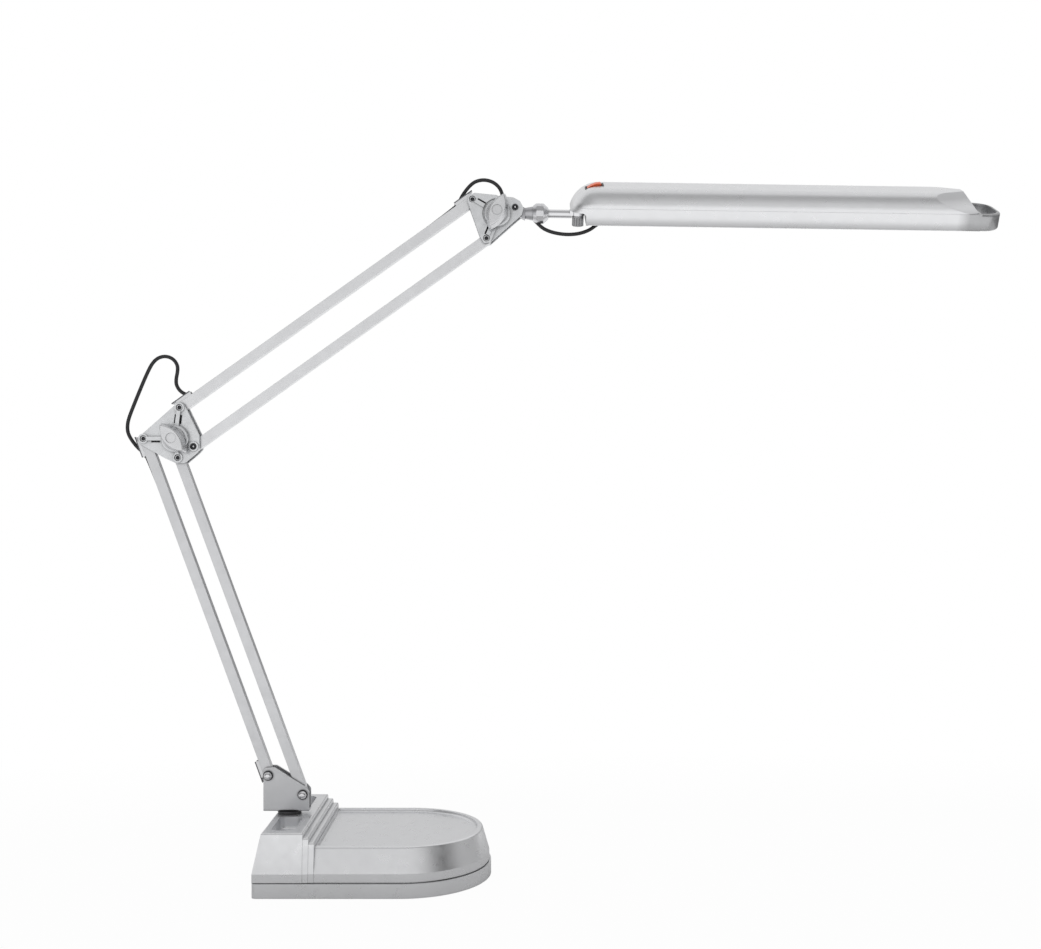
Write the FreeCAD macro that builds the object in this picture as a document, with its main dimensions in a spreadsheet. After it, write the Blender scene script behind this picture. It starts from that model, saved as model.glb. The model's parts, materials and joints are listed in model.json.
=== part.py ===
import FreeCAD, Part
import math
import os
import re
from types import SimpleNamespace

import Sketcher
from FreeCAD import Placement, Rotation, Vector

# Desk lamp with a weighted D-shaped base, two parallelogram arms and a long tube-lamp head.
# Frame: X from the base's square back to its round nose, Y away from the near side, Z up,
# with the origin on the desk under the middle of the base. Millimetres and degrees.

# Driving sizes
SIZES = {
    # Base
    "base_length": 227, "base_width": 172, "base_corner": 5, "pad_thickness": 2, "pad_proud": 1,
    "pad_inset": 9, "rim_top": 15, "groove_height": 0.8, "groove_inset": 0.6, "rim_wall": 3,
    "floor_thickness": 2.5, "skirt_top": 24, "tray_top": 48, "block_top": 62, "tray_draft": 7,
    "block_draft": 5, "back_draft": 8, "block_length": 48.5, "step_width": 5.5, "step_height": 4.6,
    "shell_wall": 3.4, "tray_inset": 14, "tray_depth": 3.2, "tray_start": 61, "tray_corner": 3,
    "tray_floor_round": 2.6, "roof_thickness": 3, "pocket_width": 23, "pocket_length": 52,
    "pocket_depth": 12, "pocket_gap": 36, "pocket_back": 15.5, "pocket_corner": 7,
    "pocket_floor_round": 3, "edge_round": 2, "ridge_depth": 0.4, "lip_depth": 3, "lip_wall": 2,
    "ballast_inset": 24, "ballast_height": 17, "ballast_back": 17, "ballast_screw": 20,
    "ballast_corner": 6, "post_radius": 4.5, "post_inset": 16.5, "post_back": 18.5, "post_front": 8,
    "screw_radius": 1.6, "screw_head": 3.2, "screw_head_height": 1.6, "screw_length": 14,
    "pad_gap": 0.3, "fit_gap": 0.05, "run_gap": 0.1,
    # Swivel
    "spindle_back": 21.5, "spindle_radius": 5, "spindle_neck": 3, "bush_radius": 8,
    "bush_flange": 11.5, "flange_thickness": 1.2, "bush_depth": 24, "washer_radius": 12,
    "washer_thickness": 1.5, "clip_thickness": 1.2, "clip_radius": 8.5, "nut_width": 9.8,
    "nut_height": 4.5,
    # Bracket
    "bracket_back": 5, "bracket_front": 6.3, "bracket_ear": 8, "bolt_head": 4.5, "bolt_head_height": 3,
    "nut_grip": 4, "nut_rim": 1.2, "nut_flange": 5.2, "dome_radius": 4.2, "dome_height": 4.6,
    "washer_play": 0.04, "sheet_thickness": 2, "bracket_round": 4,
    # Arms
    "arm_length": 364.5, "bar_width": 10, "bar_depth": 9, "bar_wall": 1.2, "plate_gap": 10,
    "lower_gap": 40, "upper_gap": 42, "lower_direction": 110.3, "upper_direction": 35.4,
    "lower_slant": 29, "upper_slant": 70.2, "rear_pivot_x": 112.5, "rear_pivot_rise": 36.4,
    "pin_radius": 2.5, "pin_clearance": 0.06,
    # Cords and their guides
    "guide_start": 5, "guide_end": 17, "guide_rise": 2.8, "guide_thickness": 1.2, "guide_slot": 4.4,
    "guide_slot_start": 2.5, "cord_radius": 1.85, "cord_deep": 2.5, "cord_ramp": 18, "cord_knee": 8,
    "cord_knee_lift": 9.9, "cord_exit": 2, "cord_lift": 12, "cord_end": 10, "cord_reach": 11.5,
    "cord_turn": 33, "cord_step": 1, "cord_play": 0.1,
    # Elbow and head joint castings
    "elbow_x": 36.6, "elbow_z": 31.6, "tilt_x": 43.3, "tilt_z": 7.7, "casting_base": 3.2,
    "pivot_boss": 5, "pivot_boss_height": 4.4, "recess_radius": 3.4, "recess_depth": 2.2,
    "rib_width": 4, "rib_height": 5.6, "elbow_boss_x": 32.6, "elbow_boss_z": 0.1,
    "elbow_boss_radius": 13.8, "boss_height": 7.4, "head_boss_x": 25.3, "head_boss_z": 14.4,
    "head_boss_radius": 13.4, "lobe_thickness": 2, "lobe_radius": 8.6, "pin_head": 1.4,
    "stud_radius": 3, "spacer_radius": 8, "slot_width": 1.8, "slot_length": 9, "slot_web": 0.8,
    # Wing knob
    "knob_length": 41, "knob_width": 19.5, "knob_thickness": 13, "knob_gap": 0.4, "knob_flank": 2.4,
    "elbow_knob_turn": 49, "head_knob_turn": -67, "knob_collar": 10.5, "knob_collar_height": 2.5,
    "knob_dish": 0.8,
    # Head joint to head
    "swing_reach": 64.144, "swing_drop": 5.609, "head_pitch": 0.85, "head_roll": 26,
    "rod_radius": 4.3, "collar_radius": 10, "collar_length": 15.5, "socket_radius": 7,
    "socket_length": 8, "socket_reach": 50, "spigot_radius": 4, "eye_radius": 6.5,
    "eye_thickness": 5, "clamp_radius": 5.9, "clamp_height": 10.8,
    # Head
    "head_width": 56, "head_bottom": 5, "head_top": 30, "shell_end": 402, "head_back": 9.2,
    "head_wall": 2.4, "head_round": 15, "nose_round": 30, "band_top": 12, "seam_gap": 0.05,
    "frame_round": 1.3, "bevel_length": 16, "bevel_foot": 2, "shoulder_start": 43.4,
    "shoulder_foot": 13.4, "shoulder_ridge": 18.7, "shoulder_side": 18, "shoulder_middle": 6.5,
    "shoulder_sink": 0.9, "loop_end": 425, "loop_corner": 19, "loop_wall": 3.6, "loop_round": 2.5,
    "notch_reach": 7.2, "notch_round": 4, "bulkhead_wall": 2, "bridge_bottom": 7,
    "bridge_thickness": 2.8, "lip_start": 10.8, "lip_rise": 2, "lip_sheet": 1.2, "gear_start": 24,
    "gear_end": 92, "gear_sink": 1, "gear_top": 12, "gland_reach": 2.5, "gland_length": 3,
    # Lamp
    "tube_radius": 6.25, "tube_spacing": 15, "tube_length": 208, "tube_level": 4.5,
    "cap_length": 27, "cap_width": 32, "cap_height": 17, "holder_start": 96, "holder_length": 30,
    "holder_width": 34, "holder_height": 18, "hanger_radius": 3, "reflector_start": 128,
    "reflector_end": 372, "reflector_width": 46, "reflector_roof": 24, "reflector_lean": 9,
    "sheet_metal": 0.8, "clip_width": 6,
    # Switch
    "switch_x": 15.5, "switch_tilt": 12, "switch_rise": 28.4, "switch_length": 19,
    "switch_width": 12, "switch_depth": 9, "switch_proud": 0.5, "switch_frame": 1.4,
    "rocker_gap": 0.4, "rocker_height": 3.2, "rocker_lean": 1.2, "axle_drop": 1, "axle_radius": 0.9,
}

doc = FreeCAD.newDocument("DeskLamp")
sheet = doc.addObject("Spreadsheet::Sheet", "Sizes")
for row, (alias, number) in enumerate(SIZES.items(), start=1):
    sheet.set(f"A{row}", alias)
    sheet.set(f"B{row}", str(number))
    sheet.setAlias(f"B{row}", alias)
doc.recompute()
size = SimpleNamespace(**SIZES)
parts = {}


def bind(formula):
    """A formula of size names, as an expression that reads the sheet."""
    return re.sub(r"[a-z]+(?:_[a-z0-9]+)+", lambda word: "Sizes." + word.group(0), str(formula))


def worth(formula):
    """The number that a formula of size names comes to."""
    return float(sheet.evalExpression(bind(formula)))


def solid(kind, at=("0", "0", "0"), turn=None, **sizes):
    """A primitive whose sizes and place follow the sheet. turn is an axis and an angle."""
    item = doc.addObject(kind, kind.split("::")[1])
    for name, formula in sizes.items():
        item.setExpression(name, bind(formula))
    if turn:
        item.Placement = Placement(Vector(), Rotation(Vector(*turn[0]), turn[1]))
    for axis, formula in zip("xyz", at):
        item.setExpression(f"Placement.Base.{axis}", bind(formula))
    return item


def block(x, y, z, length, width, height):
    """A box from its lowest corner."""
    return solid("Part::Box", (x, y, z), Length=length, Width=width, Height=height)


ALONG = {"X": ((0, 1, 0), 90), "Y": ((1, 0, 0), -90), "Z": None}


def rod(at, axis, radius, height):
    """A cylinder from the centre of its lower end along X, Y or Z."""
    return solid("Part::Cylinder", at, ALONG[axis], Radius=radius, Height=height)


def cone(at, axis, radius, end_radius, height):
    """A cone from the centre of its lower end along X, Y or Z."""
    return solid("Part::Cone", at, ALONG[axis], Radius1=radius, Radius2=end_radius, Height=height)


def hexagon(at, axis, across_flats, height, sides=6):
    """A prism of even sides along X, Y or Z."""
    prism = solid("Part::Prism", at, ALONG[axis], Height=height)
    prism.Polygon = sides
    prism.setExpression("Circumradius", f"({bind(across_flats)}) / (2 * cos(180 / {sides}))")
    return prism


def fuse(*items):
    """One solid from several."""
    if len(items) == 1:
        return items[0]
    item = doc.addObject("Part::MultiFuse", "Fuse")
    item.Shapes = list(items)
    item.Refine = True
    return item


def cut(base, *tools):
    """The base less its tools."""
    item = doc.addObject("Part::Cut", "Cut")
    item.Base = base
    item.Tool = fuse(*tools)
    item.Refine = True
    return item


def common(base, tool):
    """What the two solids share."""
    item = doc.addObject("Part::Common", "Common")
    item.Base = base
    item.Tool = tool
    item.Refine = True
    return item


def group(*items):
    """Separate solids of one sub-part."""
    item = doc.addObject("Part::Compound", "Group")
    item.Links = list(items)
    return item


def mirrored(item, normal=(0, 1, 0)):
    """The mirror image across the middle plane."""
    image = doc.addObject("Part::Mirroring", "Mirror")
    image.Source = item
    image.Normal = Vector(*normal)
    return image


def rounded(base, formula, wanted):
    """The base with the edges that wanted accepts rounded to a radius."""
    doc.recompute()
    radius = worth(formula)
    picked = [n for n, edge in enumerate(base.Shape.Edges, start=1) if wanted(edge)]
    item = doc.addObject("Part::Fillet", "Round")
    item.Base = base
    item.Edges = [(n, radius, radius) for n in picked]
    return item


def upright(edge):
    """True for a straight edge along Z."""
    ends = [vertex.Point for vertex in edge.Vertexes]
    return len(ends) == 2 and abs(ends[0].x - ends[1].x) + abs(ends[0].y - ends[1].y) < 1e-6


def crosswise(edge):
    """True for a straight edge along Y."""
    ends = [vertex.Point for vertex in edge.Vertexes]
    return len(ends) == 2 and abs(ends[0].x - ends[1].x) + abs(ends[0].z - ends[1].z) < 1e-6


def flat_at(height):
    """A test for edges that lie wholly at a height."""
    level = worth(height)
    return lambda edge: abs(edge.BoundBox.ZMin - level) + abs(edge.BoundBox.ZMax - level) < 1e-5


def plate(name, corners, start, thickness, plane="XZ_Plane"):
    """A body with one pad: corners are (x, z) formulas, start is the distance in front of the middle."""
    body = doc.addObject("PartDesign::Body", name)
    outline = body.newObject("Sketcher::SketchObject", name + "_outline")
    outline.AttachmentSupport = [(next(o for o in body.Origin.OriginFeatures if o.Role == plane), "")]
    outline.MapMode = "FlatFace"
    outline.setExpression("AttachmentOffset.Base.z", bind(start))
    points = [Vector(worth(x), worth(y), 0) for x, y in corners]
    for first, second in zip(points, points[1:] + points[:1]):
        outline.addGeometry(Part.LineSegment(first, second))
    for side, (x, y) in enumerate(corners):
        outline.addConstraint(Sketcher.Constraint("Coincident", side - 1 if side else len(corners) - 1, 2, side, 1))
        for kind, formula, number in (("DistanceX", x, points[side].x), ("DistanceY", y, points[side].y)):
            index = outline.addConstraint(Sketcher.Constraint(kind, -1, 1, side, 1, number))
            outline.setExpression(f"Constraints[{index}]", bind(formula))
    pad = body.newObject("PartDesign::Pad", name + "_pad")
    pad.Profile = outline
    pad.setExpression("Length", bind(thickness))
    return body


def named(label, item, place=None):
    """The finished sub-part under its name, at its place."""
    doc.recompute()
    if place is not None:
        item = group(item) if item.TypeId == "Part::Mirroring" else item
        item.Placement = place.multiply(item.Placement)
    item.Label = label
    parts[label] = item
    return item


def bar_place(pivot, direction):
    """Puts a bar's own frame at its pivot: X along the bar, Z to its open side."""
    return Placement(pivot, Rotation(Vector(0, 1, 0), -direction))


def polar(length, direction):
    """A vector in the plane of the arms."""
    angle = math.radians(direction)
    return Vector(length * math.cos(angle), 0, length * math.sin(angle))


# The linkage's pivots, first as formulas of the sheet and then as points
BACK = "(-base_length / 2)"
NOSE = "(base_length / 2 - base_width / 2)"
SPINDLE = f"({BACK} + spindle_back)"
WASHER_BOTTOM = "(block_top + flange_thickness + run_gap)"
BRACKET_BOTTOM = f"({WASHER_BOTTOM} + washer_thickness)"
REAR_X = "(-rear_pivot_x)"
REAR_Z = f"({BRACKET_BOTTOM} + rear_pivot_rise)"
LOWER_DX = "(lower_gap * cos(lower_slant))"
LOWER_DZ = "(-lower_gap * sin(lower_slant))"
UPPER_DX = "(upper_gap * cos(upper_slant))"
UPPER_DZ = "(-upper_gap * sin(upper_slant))"

REAR_PIVOT = Vector(worth(REAR_X), 0, worth(REAR_Z))
FRONT_PIVOT = REAR_PIVOT + polar(size.lower_gap, -size.lower_slant)
ELBOW_REAR = REAR_PIVOT + polar(size.arm_length, size.lower_direction)
ELBOW_FRONT = FRONT_PIVOT + polar(size.arm_length, size.lower_direction)
ELBOW_TOP = ELBOW_REAR + Vector(size.elbow_x, 0, size.elbow_z)
ELBOW_LOW = ELBOW_TOP + polar(size.upper_gap, -size.upper_slant)
HEAD_TOP = ELBOW_TOP + polar(size.arm_length, size.upper_direction)
HEAD_LOW = ELBOW_LOW + polar(size.arm_length, size.upper_direction)
TILT_PIVOT = HEAD_TOP + Vector(size.tilt_x, 0, -size.tilt_z)
SWING_POINT = TILT_PIVOT + Vector(size.swing_reach, 0, -size.swing_drop)
ROD_FRAME = Placement(SWING_POINT, Rotation(Vector(0, 1, 0), size.head_pitch))
HEAD_FRAME = ROD_FRAME.multiply(Placement(Vector(), Rotation(Vector(1, 0, 0), size.head_roll)))


# Base
POST_BACK = f"({BACK} + post_back)"
POST_FRONT = f"({NOSE} - post_front)"
SCREWS = [(x, f"{side} * (base_width / 2 - post_inset)") for x in (POST_BACK, POST_FRONT) for side in (-1, 1)]
BALLAST_BACK = f"({BACK} + ballast_back)"
BALLAST_SCREWS = [(f"({BALLAST_BACK} + ballast_screw)", "0"), (NOSE, "0")]
FLOOR_TOP = "(pad_proud + floor_thickness)"
ROOF = "(tray_top - tray_depth - roof_thickness)"
SHELL_BOTTOM = "(rim_top + groove_height)"


def d_solid(inset, bottom, height, back=None, half=None):
    """A D-shaped slab: square at the back, half round at the nose."""
    back = back or f"({BACK} + {inset})"
    half = half or f"(base_width / 2 - ({inset}))"
    straight = block(back, f"-{half}", bottom, f"{NOSE} - {back}", f"2 * {half}", height)
    return fuse(straight, rod((NOSE, "0", bottom), "Z", half, height))


def drafted(back, front, half_width, draft, back_draft, bottom, top):
    """A block whose sides lean in by draft, and whose back leans in by back_draft."""
    wedge = solid("Part::Wedge", turn=((1, 0, 0), 90))
    for name, formula in {
        "Xmin": back, "Xmax": front, "Ymin": bottom, "Ymax": top,
        "Zmin": f"-{half_width}", "Zmax": half_width, "X2min": f"{back} + {back_draft}",
        "X2max": front, "Z2min": f"-{half_width} + {draft}", "Z2max": f"{half_width} - {draft}",
    }.items():
        wedge.setExpression(name, bind(formula))
    return wedge


def base_pad():
    holes = [rod((x, y, "0"), "Z", "screw_head + 1", "pad_thickness") for x, y in SCREWS + BALLAST_SCREWS]
    return cut(d_solid("pad_inset + pad_gap", "0", "pad_thickness"), *holes)


def base_tray():
    outer = rounded(d_solid("0", "pad_proud", "rim_top - pad_proud"), "base_corner", upright)
    inner = d_solid("rim_wall", FLOOR_TOP, "rim_top")
    seat = d_solid("pad_inset", "0", "pad_thickness")
    holes = [rod((x, y, "0"), "Z", "screw_radius + fit_gap", "rim_top") for x, y in SCREWS + BALLAST_SCREWS]
    return cut(outer, inner, seat, *holes)


def base_shell():
    def stepped(front, steps, top, back_draft="back_draft"):
        """The back block or one of its steps: the first is the highest, widest and shortest."""
        inset = f"(groove_inset + {steps} * ridge_depth)"
        half = f"(base_width / 2 - {inset})"
        back = f"({BACK} + groove_inset)"
        skirt = block(back, f"-{half}", SHELL_BOTTOM, f"{front} - {back}", f"2 * {half}",
                      f"skirt_top - {SHELL_BOTTOM}")
        draft = f"block_draft * ({top} - skirt_top) / (block_top - skirt_top)"
        lean = f"{back_draft} * ({top} - skirt_top) / (block_top - skirt_top)"
        leaning = drafted(back, front, half, draft, lean, "skirt_top", top)
        return fuse(skirt, rounded(leaning, "edge_round", flat_at(top)))

    inset = "(groove_inset + 3 * ridge_depth)"
    half = f"(base_width / 2 - ({inset}))"
    skirt = d_solid(inset, SHELL_BOTTOM, f"skirt_top - {SHELL_BOTTOM}")
    nose = cone((NOSE, "0", "skirt_top"), "Z", half, f"{half} - tray_draft", "tray_top - skirt_top")
    sides = drafted(f"({BACK} + block_length)", NOSE, half, "tray_draft", "0", "skirt_top", "tray_top")
    top = flat_at("tray_top")
    outer = fuse(
        skirt,
        rounded(nose, "edge_round", top),
        rounded(sides, "edge_round", lambda edge: top(edge) and edge.BoundBox.XLength > 1),
        *[stepped(f"({BACK} + block_length + {n} * step_width)", n, f"(block_top - {n} * step_height)")
          for n in range(3)],
    )
    cavity = d_solid(f"{inset} + tray_draft + shell_wall", "0", ROOF)
    tray = d_solid("tray_inset", "tray_top - tray_depth", "tray_depth", f"({BACK} + tray_start)")
    tray = rounded(rounded(tray, "tray_corner", upright), "tray_floor_round", flat_at("tray_top - tray_depth"))
    pockets = []
    for side in (-1, 1):
        near = "pocket_gap / 2" if side > 0 else "-pocket_gap / 2 - pocket_length"
        hollow = block(f"{BACK} + pocket_back", near, "block_top - pocket_depth",
                       "pocket_width", "pocket_length", "pocket_depth")
        hollow = rounded(hollow, "pocket_corner", upright)
        pockets.append(rounded(hollow, "pocket_floor_round", flat_at("block_top - pocket_depth")))
    bore = rod((SPINDLE, "0", "0"), "Z", "bush_radius + fit_gap", "block_top")
    lip = cut(
        d_solid("rim_wall + fit_gap", "rim_top - lip_depth", f"{SHELL_BOTTOM} + 1 - rim_top + lip_depth"),
        d_solid("rim_wall + fit_gap + lip_wall", "0", "skirt_top"))
    shell = fuse(cut(outer, cavity, tray, *pockets, bore), lip)
    posts = [rod((x, y, FLOOR_TOP), "Z", "post_radius", f"{ROOF} + 1 - {FLOOR_TOP}") for x, y in SCREWS]
    holes = [rod((x, y, "0"), "Z", "screw_radius + fit_gap", "screw_length + 1") for x, y in SCREWS]
    return cut(fuse(shell, *posts), *holes)


def ballast():
    slab = d_solid("0", FLOOR_TOP, "ballast_height", BALLAST_BACK,
                   "(base_width / 2 - ballast_inset)")
    slab = rounded(slab, "ballast_corner", upright)
    holes = [rod((x, y, "0"), "Z", "screw_radius + fit_gap", "screw_length + 1") for x, y in BALLAST_SCREWS]
    return cut(slab, *holes)


def base_screws():
    bottom = "(pad_thickness - screw_head_height)"
    screws = []
    for x, y in SCREWS + BALLAST_SCREWS:
        head = rod((x, y, bottom), "Z", "screw_head", "screw_head_height")
        shank = rod((x, y, bottom), "Z", "screw_radius", f"screw_length - {bottom}")
        slot = hexagon((x, y, bottom), "Z", "screw_radius * 1.4", "screw_head_height / 2")
        screws.append(cut(fuse(head, shank), slot))
    return group(*screws)


# Swivel
def pivot_bush():
    sleeve = rod((SPINDLE, "0", "block_top - bush_depth"), "Z", "bush_radius", "bush_depth")
    flange = rod((SPINDLE, "0", "block_top"), "Z", "bush_flange", "flange_thickness")
    return cut(fuse(sleeve, flange), rod((SPINDLE, "0", "0"), "Z", "spindle_radius + run_gap / 2", "block_top * 2"))


CLIP_TOP = "(block_top - bush_depth - run_gap)"


def spindle():
    foot = f"({CLIP_TOP} - clip_thickness - 2)"
    shaft = rod((SPINDLE, "0", foot), "Z", "spindle_radius", f"{BRACKET_BOTTOM} - {foot}")
    neck = rod((SPINDLE, "0", BRACKET_BOTTOM), "Z", "spindle_neck", "sheet_thickness + nut_height + 1.5")
    groove = ring((SPINDLE, "0", f"{CLIP_TOP} - clip_thickness"), "Z", "spindle_neck", "spindle_radius + 1",
                  "clip_thickness")
    return cut(fuse(shaft, neck), groove)


def ring(at, axis, inner, outer, height):
    """A washer."""
    return cut(rod(at, axis, outer, height), rod(at, axis, inner, height))


def spindle_clip():
    return ring((SPINDLE, "0", f"{CLIP_TOP} - clip_thickness"), "Z", "spindle_neck + fit_gap", "clip_radius",
                "clip_thickness")


def thrust_washer():
    return ring((SPINDLE, "0", WASHER_BOTTOM), "Z", "spindle_radius + fit_gap", "washer_radius",
                "washer_thickness")


def spindle_nut():
    at = (SPINDLE, "0", f"{BRACKET_BOTTOM} + sheet_thickness")
    return cut(hexagon(at, "Z", "nut_width", "nut_height"), rod(at, "Z", "spindle_neck + fit_gap", "nut_height"))


# Bracket
def bracket():
    front_x = f"({REAR_X} + {LOWER_DX})"
    front_z = f"({REAR_Z} + {LOWER_DZ})"
    corners = [
        (f"{REAR_X} - bracket_back", BRACKET_BOTTOM),
        (f"{front_x} + bracket_front", BRACKET_BOTTOM),
        (f"{front_x} + bracket_front", f"{front_z} + bracket_ear / 2"),
        (f"{front_x} + bracket_ear / 3", f"{front_z} + bracket_ear"),
        (f"{REAR_X} + bracket_ear * 0.8", f"{REAR_Z} + bracket_ear"),
        (f"{REAR_X} - bracket_back", f"{REAR_Z} + bracket_ear"),
    ]
    half = "(plate_gap / 2 + sheet_thickness)"
    body = plate("bracket_blank", corners, f"-{half}", f"2 * {half}")
    level = worth(BRACKET_BOTTOM) + 1
    body = rounded(body, "bracket_round", lambda edge: crosswise(edge) and edge.BoundBox.ZMin > level)
    body = rounded(body, "sheet_thickness * 0.9",
                   lambda edge: edge.BoundBox.XLength > 20 and edge.BoundBox.ZMax < level)
    slot = block(f"{REAR_X} - 2 * bracket_back", "-plate_gap / 2", f"{BRACKET_BOTTOM} + sheet_thickness",
                 "base_width", "plate_gap", "base_width")
    neck = rod((SPINDLE, "0", "0"), "Z", "spindle_neck + fit_gap", "base_width")
    pins = [rod((x, f"-{half}", z), "Y", "pin_radius + fit_gap", f"2 * {half}")
            for x, z in ((REAR_X, REAR_Z), (front_x, front_z))]
    return cut(body, slot, neck, *pins)


def bolts(places, half):
    """Pivot bolts across the gap, with a flat head on the far side."""
    made = []
    for x, z in places:
        shank = rod((x, f"-{half} - nut_grip", z), "Y", "pin_radius", f"2 * {half} + nut_grip")
        head = rod((x, half, z), "Y", "bolt_head", "bolt_head_height")
        made.append(fuse(shank, head))
    return group(*made)


def dome_nuts(places, half):
    """Cap nuts with a flange on the near side."""
    made = []
    for x, z in places:
        flange = rod((x, f"-{half} - nut_rim", z), "Y", "nut_flange", "nut_rim")
        dome = rod((x, f"-{half} - nut_rim - dome_height", z), "Y", "dome_radius", "dome_height")
        front = -worth(half) - size.nut_rim - size.dome_height
        dome = rounded(dome, "dome_radius * 0.8",
                       lambda edge, y=front: abs(edge.BoundBox.YMin - y) + abs(edge.BoundBox.YMax - y) < 1e-5)
        hole = rod((x, f"-{half} - nut_grip - fit_gap", z), "Y", "pin_radius + fit_gap", "nut_grip + fit_gap")
        made.append(cut(fuse(flange, dome), hole))
    return group(*made)


def washers(places):
    """Thin friction washers on both sides of each bar's end."""
    room = "(plate_gap / 2 - bar_depth / 2)"
    made = []
    for x, z in places:
        for start in (f"bar_depth / 2 + washer_play / 2", f"-plate_gap / 2 + washer_play / 2"):
            made.append(ring((x, start, z), "Y", "pin_radius + fit_gap", "pivot_boss - 0.5",
                             f"{room} - washer_play"))
    return group(*made)


# Arms, each in its own frame: X along the bar from its first pivot, Z to its open side
def bar():
    outer = fuse(
        block("0", "-bar_depth / 2", "-bar_width / 2", "arm_length", "bar_depth", "bar_width"),
        rod(("0", "-bar_depth / 2", "0"), "Y", "bar_width / 2", "bar_depth"),
        rod(("arm_length", "-bar_depth / 2", "0"), "Y", "bar_width / 2", "bar_depth"))
    channel = block("-bar_width", "-bar_depth / 2 + bar_wall", "-bar_width / 2 + bar_wall",
                    "arm_length + 2 * bar_width", "bar_depth - 2 * bar_wall", "bar_width")
    holes = [rod((x, "-bar_depth / 2", "0"), "Y", "pin_radius + pin_clearance", "bar_depth")
             for x in ("0", "arm_length")]
    return cut(outer, channel, *holes)


def cord_guides(slotted):
    """A strap over the open side at each end; the cord comes out through a strap's open slot."""
    made = []
    ends = (("-guide_start", "0", "guide_slot_start"),
            ("arm_length - guide_end", "arm_length - guide_end", "arm_length - guide_end"))
    for (start, cheek, slot), has_slot in zip(ends, slotted):
        strap = block(start, "-bar_depth / 2", "bar_width / 2 + guide_rise", "guide_start + guide_end",
                      "bar_depth", "guide_thickness")
        cheeks = [block(cheek, y, "bar_width / 2", "guide_end", "bar_wall", "guide_rise")
                  for y in ("-bar_depth / 2", "bar_depth / 2 - bar_wall")]
        guide = rounded(fuse(strap, *cheeks), "guide_thickness * 0.4",
                        lambda edge: crosswise(edge) and edge.BoundBox.ZMin > size.bar_width / 2 + 1)
        if has_slot:
            opening = block(slot, "-guide_slot / 2", "bar_width / 2", "guide_end - guide_slot_start",
                            "guide_slot", "2 * guide_rise")
            guide = cut(guide, opening)
        made.append(guide)
    return group(*made)


def tangent_route(points):
    """Straight runs through the points, joined by arcs as large as the runs allow."""
    edges = []
    radii = []
    last = points[0]
    for before, corner, after in zip(points, points[1:], points[2:]):
        come = (corner - before).normalize()
        go = (after - corner).normalize()
        turn = come.getAngle(go)
        reach = 0.45 * min((corner - before).Length, (after - corner).Length)
        enter = corner - come * reach
        leave = corner + go * reach
        radius = reach / math.tan(turn / 2)
        middle = corner + (go - come).normalize() * (radius / math.cos(turn / 2) - radius)
        edges.append(Part.LineSegment(last, enter).toShape())
        edges.append(Part.Arc(enter, middle, leave).toShape())
        radii.append(radius)
        last = leave
    edges.append(Part.LineSegment(last, points[-1]).toShape())
    return Part.Wire(edges), radii


def tube(name, points, place=None):
    """A round cord along a route of points."""
    wire, radii = tangent_route(points)
    direction = points[1] - points[0]
    ends = Part.Wire(Part.makeCircle(size.cord_radius, points[0], direction))
    shape = wire.makePipeShell([ends], True, False)
    ratio = shape.Volume / (math.pi * size.cord_radius ** 2 * wire.Length)
    print(f"{name}: length {wire.Length:.1f}, least radius {min(radii):.1f}, volume ratio {ratio:.4f}")
    item = doc.addObject("Part::Feature", name)
    item.Shape = shape
    if place is not None:
        item.Placement = place
    return item


def channel_route(start):
    """The cord's points inside a bar: deep in its channel, then up and out through the strap at its end."""
    return [Vector(start, 0, size.cord_deep),
            Vector(size.arm_length - size.cord_ramp, 0, size.cord_deep),
            Vector(size.arm_length - size.cord_knee, 0, size.cord_knee_lift),
            Vector(size.arm_length - size.cord_exit, 0, size.cord_lift)]


# Castings
def wall_rod(x, z, radius, outer):
    """A boss on the near casting, from the gap out to a distance."""
    return rod((x, f"-plate_gap / 2 - ({outer})", z), "Y", radius, outer)


def rib(x, z, x_end, z_end, width, outer):
    """A straight rib on the near casting."""
    start = Vector(worth(x), 0, worth(z))
    end = Vector(worth(x_end), 0, worth(z_end))
    run = end - start
    length = run.Length
    angle = -math.degrees(math.atan2(run.z, run.x))
    item = doc.addObject("Part::Box", "Rib")
    item.setExpression("Height", bind(width))
    item.setExpression("Width", bind(outer))
    item.Length = length
    turn = Rotation(Vector(0, 1, 0), angle)
    corner = start + turn.multVec(Vector(0, 0, -worth(width) / 2))
    item.Placement = Placement(corner + Vector(0, -size.plate_gap / 2 - worth(outer), 0), turn)
    return item


def slot(pin, boss, boss_radius, side):
    """A cutter beside a rib: a narrow slot from the boss towards a pin, which leaves a thin web."""
    start = Vector(worth(boss[0]), 0, worth(boss[1]))
    run = Vector(worth(pin[0]), 0, worth(pin[1])) - start
    turn = Rotation(Vector(0, 1, 0), -math.degrees(math.atan2(run.z, run.x)))
    item = doc.addObject("Part::Box", "Slot")
    item.setExpression("Length", bind("slot_length"))
    item.setExpression("Width", bind("plate_gap"))
    item.setExpression("Height", bind("slot_width"))
    beside_rib = side * (size.rib_width + size.slot_width) / 2 - size.slot_width / 2
    from_boss = worth(boss_radius) + size.slot_width
    corner = start + turn.multVec(Vector(from_boss, 0, beside_rib))
    front = -(size.plate_gap / 2 + size.slot_web) - size.plate_gap
    item.Placement = Placement(corner + Vector(0, front, 0), turn)
    return item


def hub_groove(boss, boss_radius, level):
    """A cutter for the groove round a hub, sunk below the face that the hub stands on."""
    x, z = boss
    return ring((x, f"-plate_gap / 2 - 2 * boss_height", z), "Y", boss_radius, f"{boss_radius} + slot_width",
                f"2 * boss_height - ({level}) + slot_width * 0.6")


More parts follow.
